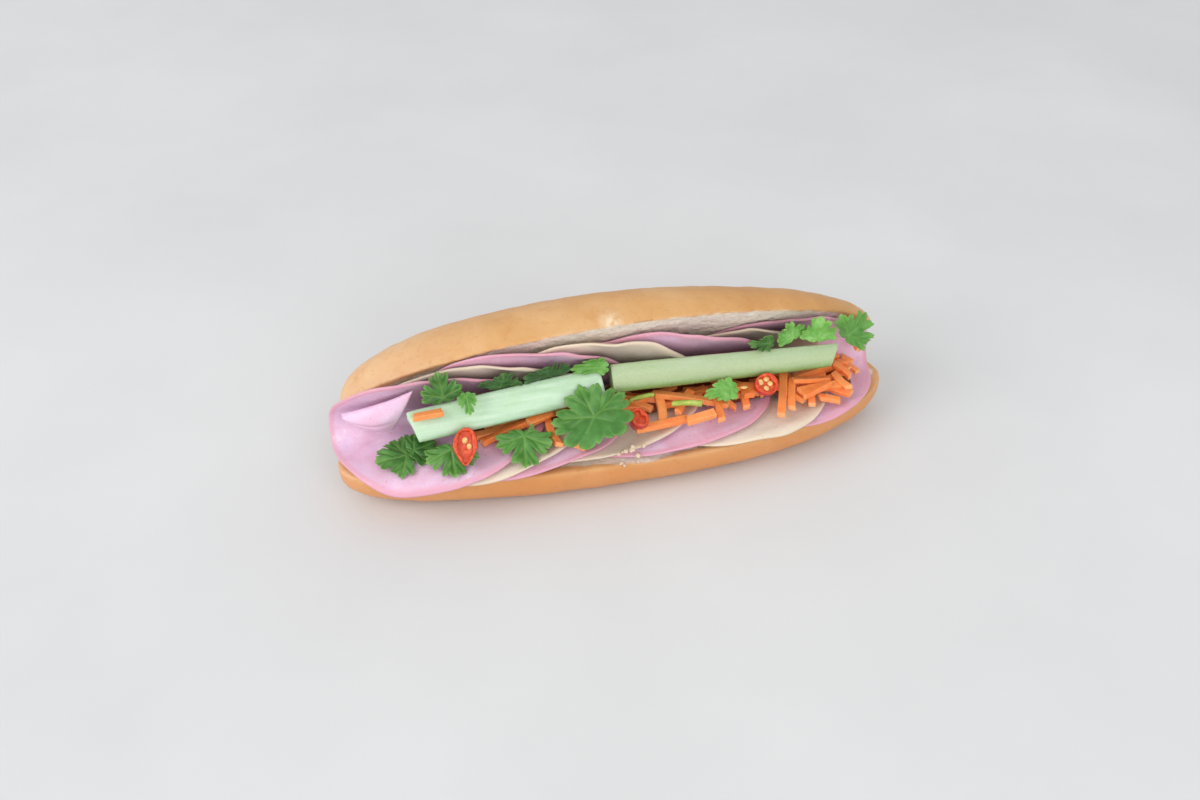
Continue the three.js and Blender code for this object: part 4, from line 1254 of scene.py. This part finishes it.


# ---------------- coriander

# By number. cut is how deep the cuts between the lobes are, cup lifts the edge, spread widens the leaf, and
# base fills it out round its stalk. The leaves that lie in shade behind the batons get painted shade, a
# darker green.
LEAVES = [
    dict(at=(-86.5, -10.8, 24), size=21, heading=95, tone=0.15, cut=0.15),
    dict(at=(-83.8, -10.5, 25.5), size=16, heading=-75, tilt=12, tone=0.0, cut=0.05),
    dict(at=(-70.0, -17.2, 29), size=20, heading=178, tilt=28, tone=0.3),
    dict(at=(-42.2, -17.7, 30.5), size=22, heading=172, tilt=25, tone=0.35),
    dict(at=(40.8, -15.8, 36.8), size=20, spread=0.45, heading=97, tilt=40, tone=1.0, cut=0.1, cup=0.06),
    dict(at=(-16, -23, 39), size=22, spread=1.42, base=5, heading=15, tilt=36, tone=0.25, cut=0.12,
         crumple=0.14, cup=-0.02),
    dict(at=(-70.5, -8.6, 47.6), size=19, spread=0.85, heading=5, tilt=78, tone=0.05),
    dict(at=(-62.2, -12.2, 49.4), size=12, spread=0.6, heading=185, tilt=50, tone=0.6),
    dict(at=(-48.5, -6.7, 47), size=13, spread=1.3, heading=-12, tilt=78, tone=0.0, painted_shade=0.4, cut=0.2),
    dict(at=(-30, -6.5, 49), size=11, spread=1.7, heading=10, tilt=78, tone=0.0, painted_shade=0.5, cut=0.2),
    dict(at=(-9.3, -7.4, 49.8), size=21, spread=0.4, heading=85, tilt=70, tone=0.75, cut=0.2),
    dict(at=(59, -6.2, 48.6), size=15.5, spread=0.45, heading=82, tilt=75, tone=0.1, painted_shade=0.25, crumple=0.3),
    dict(at=(67.9, -6.8, 50.5), size=12.5, heading=25, tilt=76, tone=0.9, crumple=0.4, cut=0.2, cup=0.1),
    dict(at=(78, -8.2, 49.5), size=15, heading=-8, tilt=76, tone=1.0, crumple=0.4, cut=0.2, cup=0.1),
    dict(at=(92, -6.6, 47.2), size=19, heading=-48, tilt=72, tone=0.45, crumple=0.4, cut=0.25, cup=0.08),
]
RESTING = 5  # the first leaves lie on what is under them, the others lean
LOBES = np.radians([-68, 0, 68])
LOBE_HALF_SPAN = math.radians(34)
LOBE_SIZE = (0.9, 1.0, 0.9)
LOBE_LENGTH = 0.62
LOBE_ARCH = 0.12  # how much a lobe falls off to its sides
LOBE_CUT = 0.4  # how deep the cuts between the lobes are
TOOTH_DEPTH = 0.2
NICK_DEPTH = 0.05  # of the small notches between the teeth's own tips
LEAF_BASE = ([102, 128, 180], [0.48, 0.32, 0.12])  # angle and radius round the stalk
FULL_BASE = 0.85  # the largest radius there
PLEAT_WIDTH = 3.0  # of the folds along the veins, in widths of the veins
PLEAT_DEPTH = 0.05  # these four in sizes of the leaf
CRUMPLE = 0.18
CUP = 0.04
FRILL = 0.025  # of the edge
VEIN_DEPTH = 0.22
THIN_EDGE = 0.35  # of the thickness
VEIN_WIDTH = (0.16, 0.012)  # in millimetres, and how much wider for each of the leaf's size
LEAF_SIDES = 240
LEAF_RINGS = 16
LEAF_REACH = 0.8  # within which it clears what it lies on, and by how much
LEAF_GAP = 0.21


def toothed(turn):
    """Blunt teeth, one to each half turn."""
    return 1 - TOOTH_DEPTH * (1 - np.sqrt(np.abs(np.cos(turn))))


def leaf_outline(shape, rng):
    """Radius over the angle: three lobes with three blunt teeth each, and a wedge to the stalk."""
    angle = np.linspace(-math.pi, math.pi, LEAF_SIDES, endpoint=False)
    radius = np.interp(np.degrees(np.abs(angle)), *LEAF_BASE) * shape.get("base", 1)
    radius = np.minimum(radius, FULL_BASE)
    if "base" in shape:
        radius = radius * toothed(6 * angle)
    for middle, size in zip(LOBES, LOBE_SIZE):
        s = (angle - middle) / LOBE_HALF_SPAN
        arch = 1 - LOBE_ARCH * s * s
        teeth = toothed(1.5 * math.pi * s)
        nicks = 1 - NICK_DEPTH * (1 - np.abs(np.cos(4.5 * math.pi * s + rng.uniform(-0.3, 0.3))))
        cut = 1 - shape.get("cut", LOBE_CUT) * smoothstep(np.abs(s), 0.74, 1)
        lobe = size * rng.uniform(0.94, 1.0) * arch * teeth * nicks * cut
        radius = np.where(np.abs(s) <= 1, lobe, radius)
    return angle, radius


def leaf_veins():
    """Lines of the leaf's veins in its own plane, each with its width."""
    lines = []
    for middle, size in zip(LOBES, LOBE_SIZE):
        lines.append((0.0, 0.0, middle, size * 0.97, 1.0))
        for side in (-1, 1):
            tip = middle + side * LOBE_HALF_SPAN * 0.66
            lines.append((middle, size * 0.3, tip, size * 0.8, 0.7))
            lines.append((middle, size * 0.58, middle + side * LOBE_HALF_SPAN * 0.27, size * 0.86, 0.5))
            fork = middle + side * LOBE_HALF_SPAN * 0.38
            lines.append((fork, size * 0.55, tip + side * 0.18, size * 0.62, 0.45))
    for side in (-1, 1):
        lines.append((0.0, 0.0, side * math.radians(128), 0.5, 0.6))
    return lines


VEINS = leaf_veins()


def vein_share(flat, size, widening=1.0):
    """How near each point of the leaf's plane is to a vein, from 0 to 1."""
    share = np.zeros(flat.shape[:-1])
    reach = (VEIN_WIDTH[0] + VEIN_WIDTH[1] * size) * widening
    for a, r, b, s, width in VEINS:
        start = np.array([math.sin(a), math.cos(a)]) * r * LOBE_LENGTH * size
        end = np.array([math.sin(b), math.cos(b)]) * s * LOBE_LENGTH * size
        along = np.clip(((flat - start) @ (end - start)) / max((end - start) @ (end - start), 1e-9), 0, 1)
        distance = np.linalg.norm(flat - (start + along[..., None] * (end - start)), axis=-1)
        share = np.maximum(share, width * np.exp(-(distance / reach) ** 2))
    return share


def spread(lift):
    """Softens a needed lift over the leaf without going under it."""
    soft = lift.copy()
    for _ in range(12):
        around = (np.roll(soft, 1, 1) + np.roll(soft, -1, 1)) / 2
        inner = np.concatenate([soft[:1], soft[:-1]])
        outer = np.concatenate([soft[1:], soft[-1:]])
        soft = np.maximum(lift, (around + inner + outer + soft) / 4)
    return soft


def leaf(look, index, ground, stack):
    shape = LEAVES[index]
    name = f"coriander_leaf_{index + 1:02d}"
    size, at = shape["size"], np.array(shape["at"], float)
    angle, outline = leaf_outline(shape, np.random.default_rng(100 + index))
    ring = np.linspace(0, 1, LEAF_RINGS)[:, None]
    reach = ring * outline * LOBE_LENGTH
    flat = np.stack([reach * np.sin(angle) * shape.get("spread", 1), reach * np.cos(angle)], -1) * size
    vein = vein_share(flat, size)
    rho = reach / LOBE_LENGTH
    seeded = np.concatenate([flat, np.full(flat.shape[:-1] + (1,), 40.0 * index)], -1)
    wave = shape.get("crumple", CRUMPLE) * noise(seeded, size * 0.42, 2) * rho ** 1.2
    frill = FRILL * np.sin(9 * angle + 3 * np.sin(2 * angle + index)) * rho ** 2
    pleat = PLEAT_DEPTH * vein_share(flat, size, PLEAT_WIDTH) * rho ** 0.5
    height = size * (shape.get("cup", CUP) * rho ** 2 + wave + frill - pleat) - VEIN_DEPTH * vein
    turn = rotation(shape.get("tilt", 0), shape["heading"])
    faces = []
    for lift in (LEAF_THICKNESS, 0.0):
        taper = lift * (THIN_EDGE + (1 - THIN_EDGE) * (1 - ring ** 3))
        local = np.concatenate([flat, (height + taper)[..., None]], -1)
        points = local @ turn.T + at
        if index >= RESTING:
            points[..., 1] -= spread(clear_of_stack(points, stack, GAP + lift)) / math.sin(GAPE)
        under = ground.highest(points[..., 0], points[..., 1], LEAF_REACH) + LEAF_GAP + lift
        points[..., 2] += spread(np.maximum(under - points[..., 2], 0))
        faces.append(points)
    points, polygons = closed_disc(*faces)
    edge = disc_values(np.broadcast_to(smoothstep(ring, 0.85, 1.0), vein.shape))
    tone, painted_shade = (np.full(len(points), shape.get(key, 0)) for key in ("tone", "painted_shade"))
    values = dict(vein=disc_values(vein), edge=edge, tone=tone, painted_shade=painted_shade)
    make_piece(name + "_blade", points, polygons, [look], [name], "coriander", values)
    return faces[0]


STEMS = [
    ("coriander_stem_1", (17, -15, 27.5, -20.5), 1.2),
    ("coriander_stem_2", (1, -10.5, 10.5, -12), 0.9),
]


def stem(look, name, line, radius, ground):
    rng = np.random.default_rng(int(radius * 10))
    angle = np.linspace(0, 2 * math.pi, 14, endpoint=False)
    section = np.stack([radius * np.cos(angle), radius * (1 + np.sin(angle))], 1)
    rings = strand(line, section, on_ground(ground), rng, bend=0.6)
    points, faces = loft(rings)
    make_piece(name + "_stalk", points, faces, [look], [name], "coriander")
    ground.add(rings)


# ---------------- crumbs

# Middle and spread of the places where crumbs lie, and how many.
CRUMB_HEAPS = [((-6.5, -28), (2.2, 0.8), 5), ((-1, -27.6), (1.8, 1.2), 8)]
CRUMB_RADIUS = (0.5, 1.1)
CRUMB_SUNK = 0.3  # of their radius
CRUMB_PALENESS = 0.6  # 0 as the crust, 1 as the inside of the bread
LOOSE_SEED_AT = (45.5, -17)


def crumb_body(rng, radius):
    """A small torn lump, as rings from pole to pole."""
    body = unit_ball(9, 14, 0.1)
    size = radius * (1 + 0.8 * noise(body + rng.uniform(0, 90), 0.9))
    return body * size[..., None] * rng.uniform(0.75, 1.1, 3)


def crumbs(look, ground):
    rng = np.random.default_rng(31)
    parts = Parts()
    for middle, reach, count in CRUMB_HEAPS:
        for _ in range(count):
            x, y = rng.normal(middle, reach)
            body = crumb_body(rng, rng.uniform(*CRUMB_RADIUS))
            floor = max(ground.highest(x, y, 0.6), CUT_HEIGHT)
            lift = floor - body[..., 2].min() * (1 - CRUMB_SUNK)
            parts.add(*loft(body + [x, y, lift]), crumb=CRUMB_PALENESS)
    parts.piece("crumbs", [look], (), "bread")


def loose_seed(look, ground):
    rng = np.random.default_rng(41)
    x, y = LOOSE_SEED_AT
    body = seed_body(rng)
    lift = ground.highest(x, y, 1.2) - body[..., 2].min() + 0.1
    make_piece("loose_seed", *loft(body + [x, y, lift]), [look], (), "chilli")


# ---------------- the whole

def sandwich():
    bread_piece = bread()
    meats = dict(ham=ham_look(), pork_roll=pork_roll_look())
    ground = Ground()
    stack = Ground()
    for index in range(len(SLICES)):
        top = slice_piece(index, meats)
        ground.add(top[top[..., 2] < CARRIES_BELOW])
        add_in_front(stack, top[top[..., 2] > LEANS_ABOVE])
    ham_flap(meats["ham"])
    carrot = carrot_look()
    carrot_heap(carrot, ground)
    rng = np.random.default_rng(5)
    for name, line in LOOSE_SHREDS:
        laid_shred(carrot, name, line, ground, rng)
    green = coriander_look()
    for index in range(RESTING):
        ground.add(leaf(green, index, ground, stack))
    stalk = stem_look()
    for name, line, radius in STEMS:
        stem(stalk, name, line, radius, ground)
    chilli = [chilli_skin_look(), chilli_flesh_look(), chilli_seed_look()]
    for shape in CHILLI_SLICES:
        ground.add(chilli_slice(chilli, **shape))
    loose_seed(chilli[2], ground)
    crumbs(bread_piece.data.materials[0], ground)
    cucumber = cucumber_look()
    for shape in BATONS:
        piece = baton(cucumber, **shape)
        vertices = np.array([vertex.co for vertex in piece.data.vertices]) / MM - SHIFT
        ground.add(vertices)
    laid_shred(carrot, *SHRED_ON_BATON, ground, rng)
    for index in range(RESTING, len(LEAVES)):
        leaf(green, index, ground, stack)


# ---------------- floor, light and camera

CAMERA_AT = (-94.5, -359.6, 329.3)
CAMERA_TARGET = (-0.3, 33.0, 0.0)
CAMERA_LENS = 36.0
CAMERA_SENSOR = 36.0

# In metres in the row frame, as is the floor; power in watts.
KEY_LIGHT = dict(at=(-1.9, -0.6, 1.35), size=1.8, power=26)
FILL_LIGHT = dict(at=(0.2, -1.4, 0.8), size=1.6, power=9)
LIT_POINT = (0, 0, 0)
SURROUNDINGS = 0.66  # strength of the white light from all round
FLOOR_SIZE = 6


def floor():
    bpy.ops.mesh.primitive_plane_add(size=FLOOR_SIZE)
    plane = bpy.context.object
    plane.name = "floor"
    plane.data.materials.append(floor_look())


def aim(name, data, at, target):
    """Puts a light or a camera into the scene, turned towards target."""
    thing = bpy.data.objects.new(name, data)
    thing.location = at
    thing.rotation_euler = (Vector(target) - Vector(at)).to_track_quat("-Z", "Y").to_euler()
    bpy.context.collection.objects.link(thing)
    return thing


def area_light(name, at, size, power):
    light = bpy.data.lights.new(name, "AREA")
    light.shape = "DISK"
    light.size = size
    light.energy = power
    aim(name, light, at, LIT_POINT)


def studio():
    world = bpy.data.worlds.new("studio")
    world.use_nodes = True
    background = world.node_tree.nodes["Background"]
    background.inputs["Color"].default_value = (1.0, 1.0, 1.0, 1.0)
    background.inputs["Strength"].default_value = SURROUNDINGS
    bpy.context.scene.world = world
    bpy.context.scene.view_settings.view_transform = "Standard"
    area_light("key", **KEY_LIGHT)
    area_light("fill", **FILL_LIGHT)


def camera():
    lens = bpy.data.cameras.new("camera")
    lens.lens = CAMERA_LENS
    lens.sensor_width = CAMERA_SENSOR
    lens.sensor_fit = "HORIZONTAL"
    lens.clip_start = 0.01
    bpy.context.scene.camera = aim("camera", lens, place(CAMERA_AT), place(CAMERA_TARGET))


camera()
floor()
studio()
sandwich()
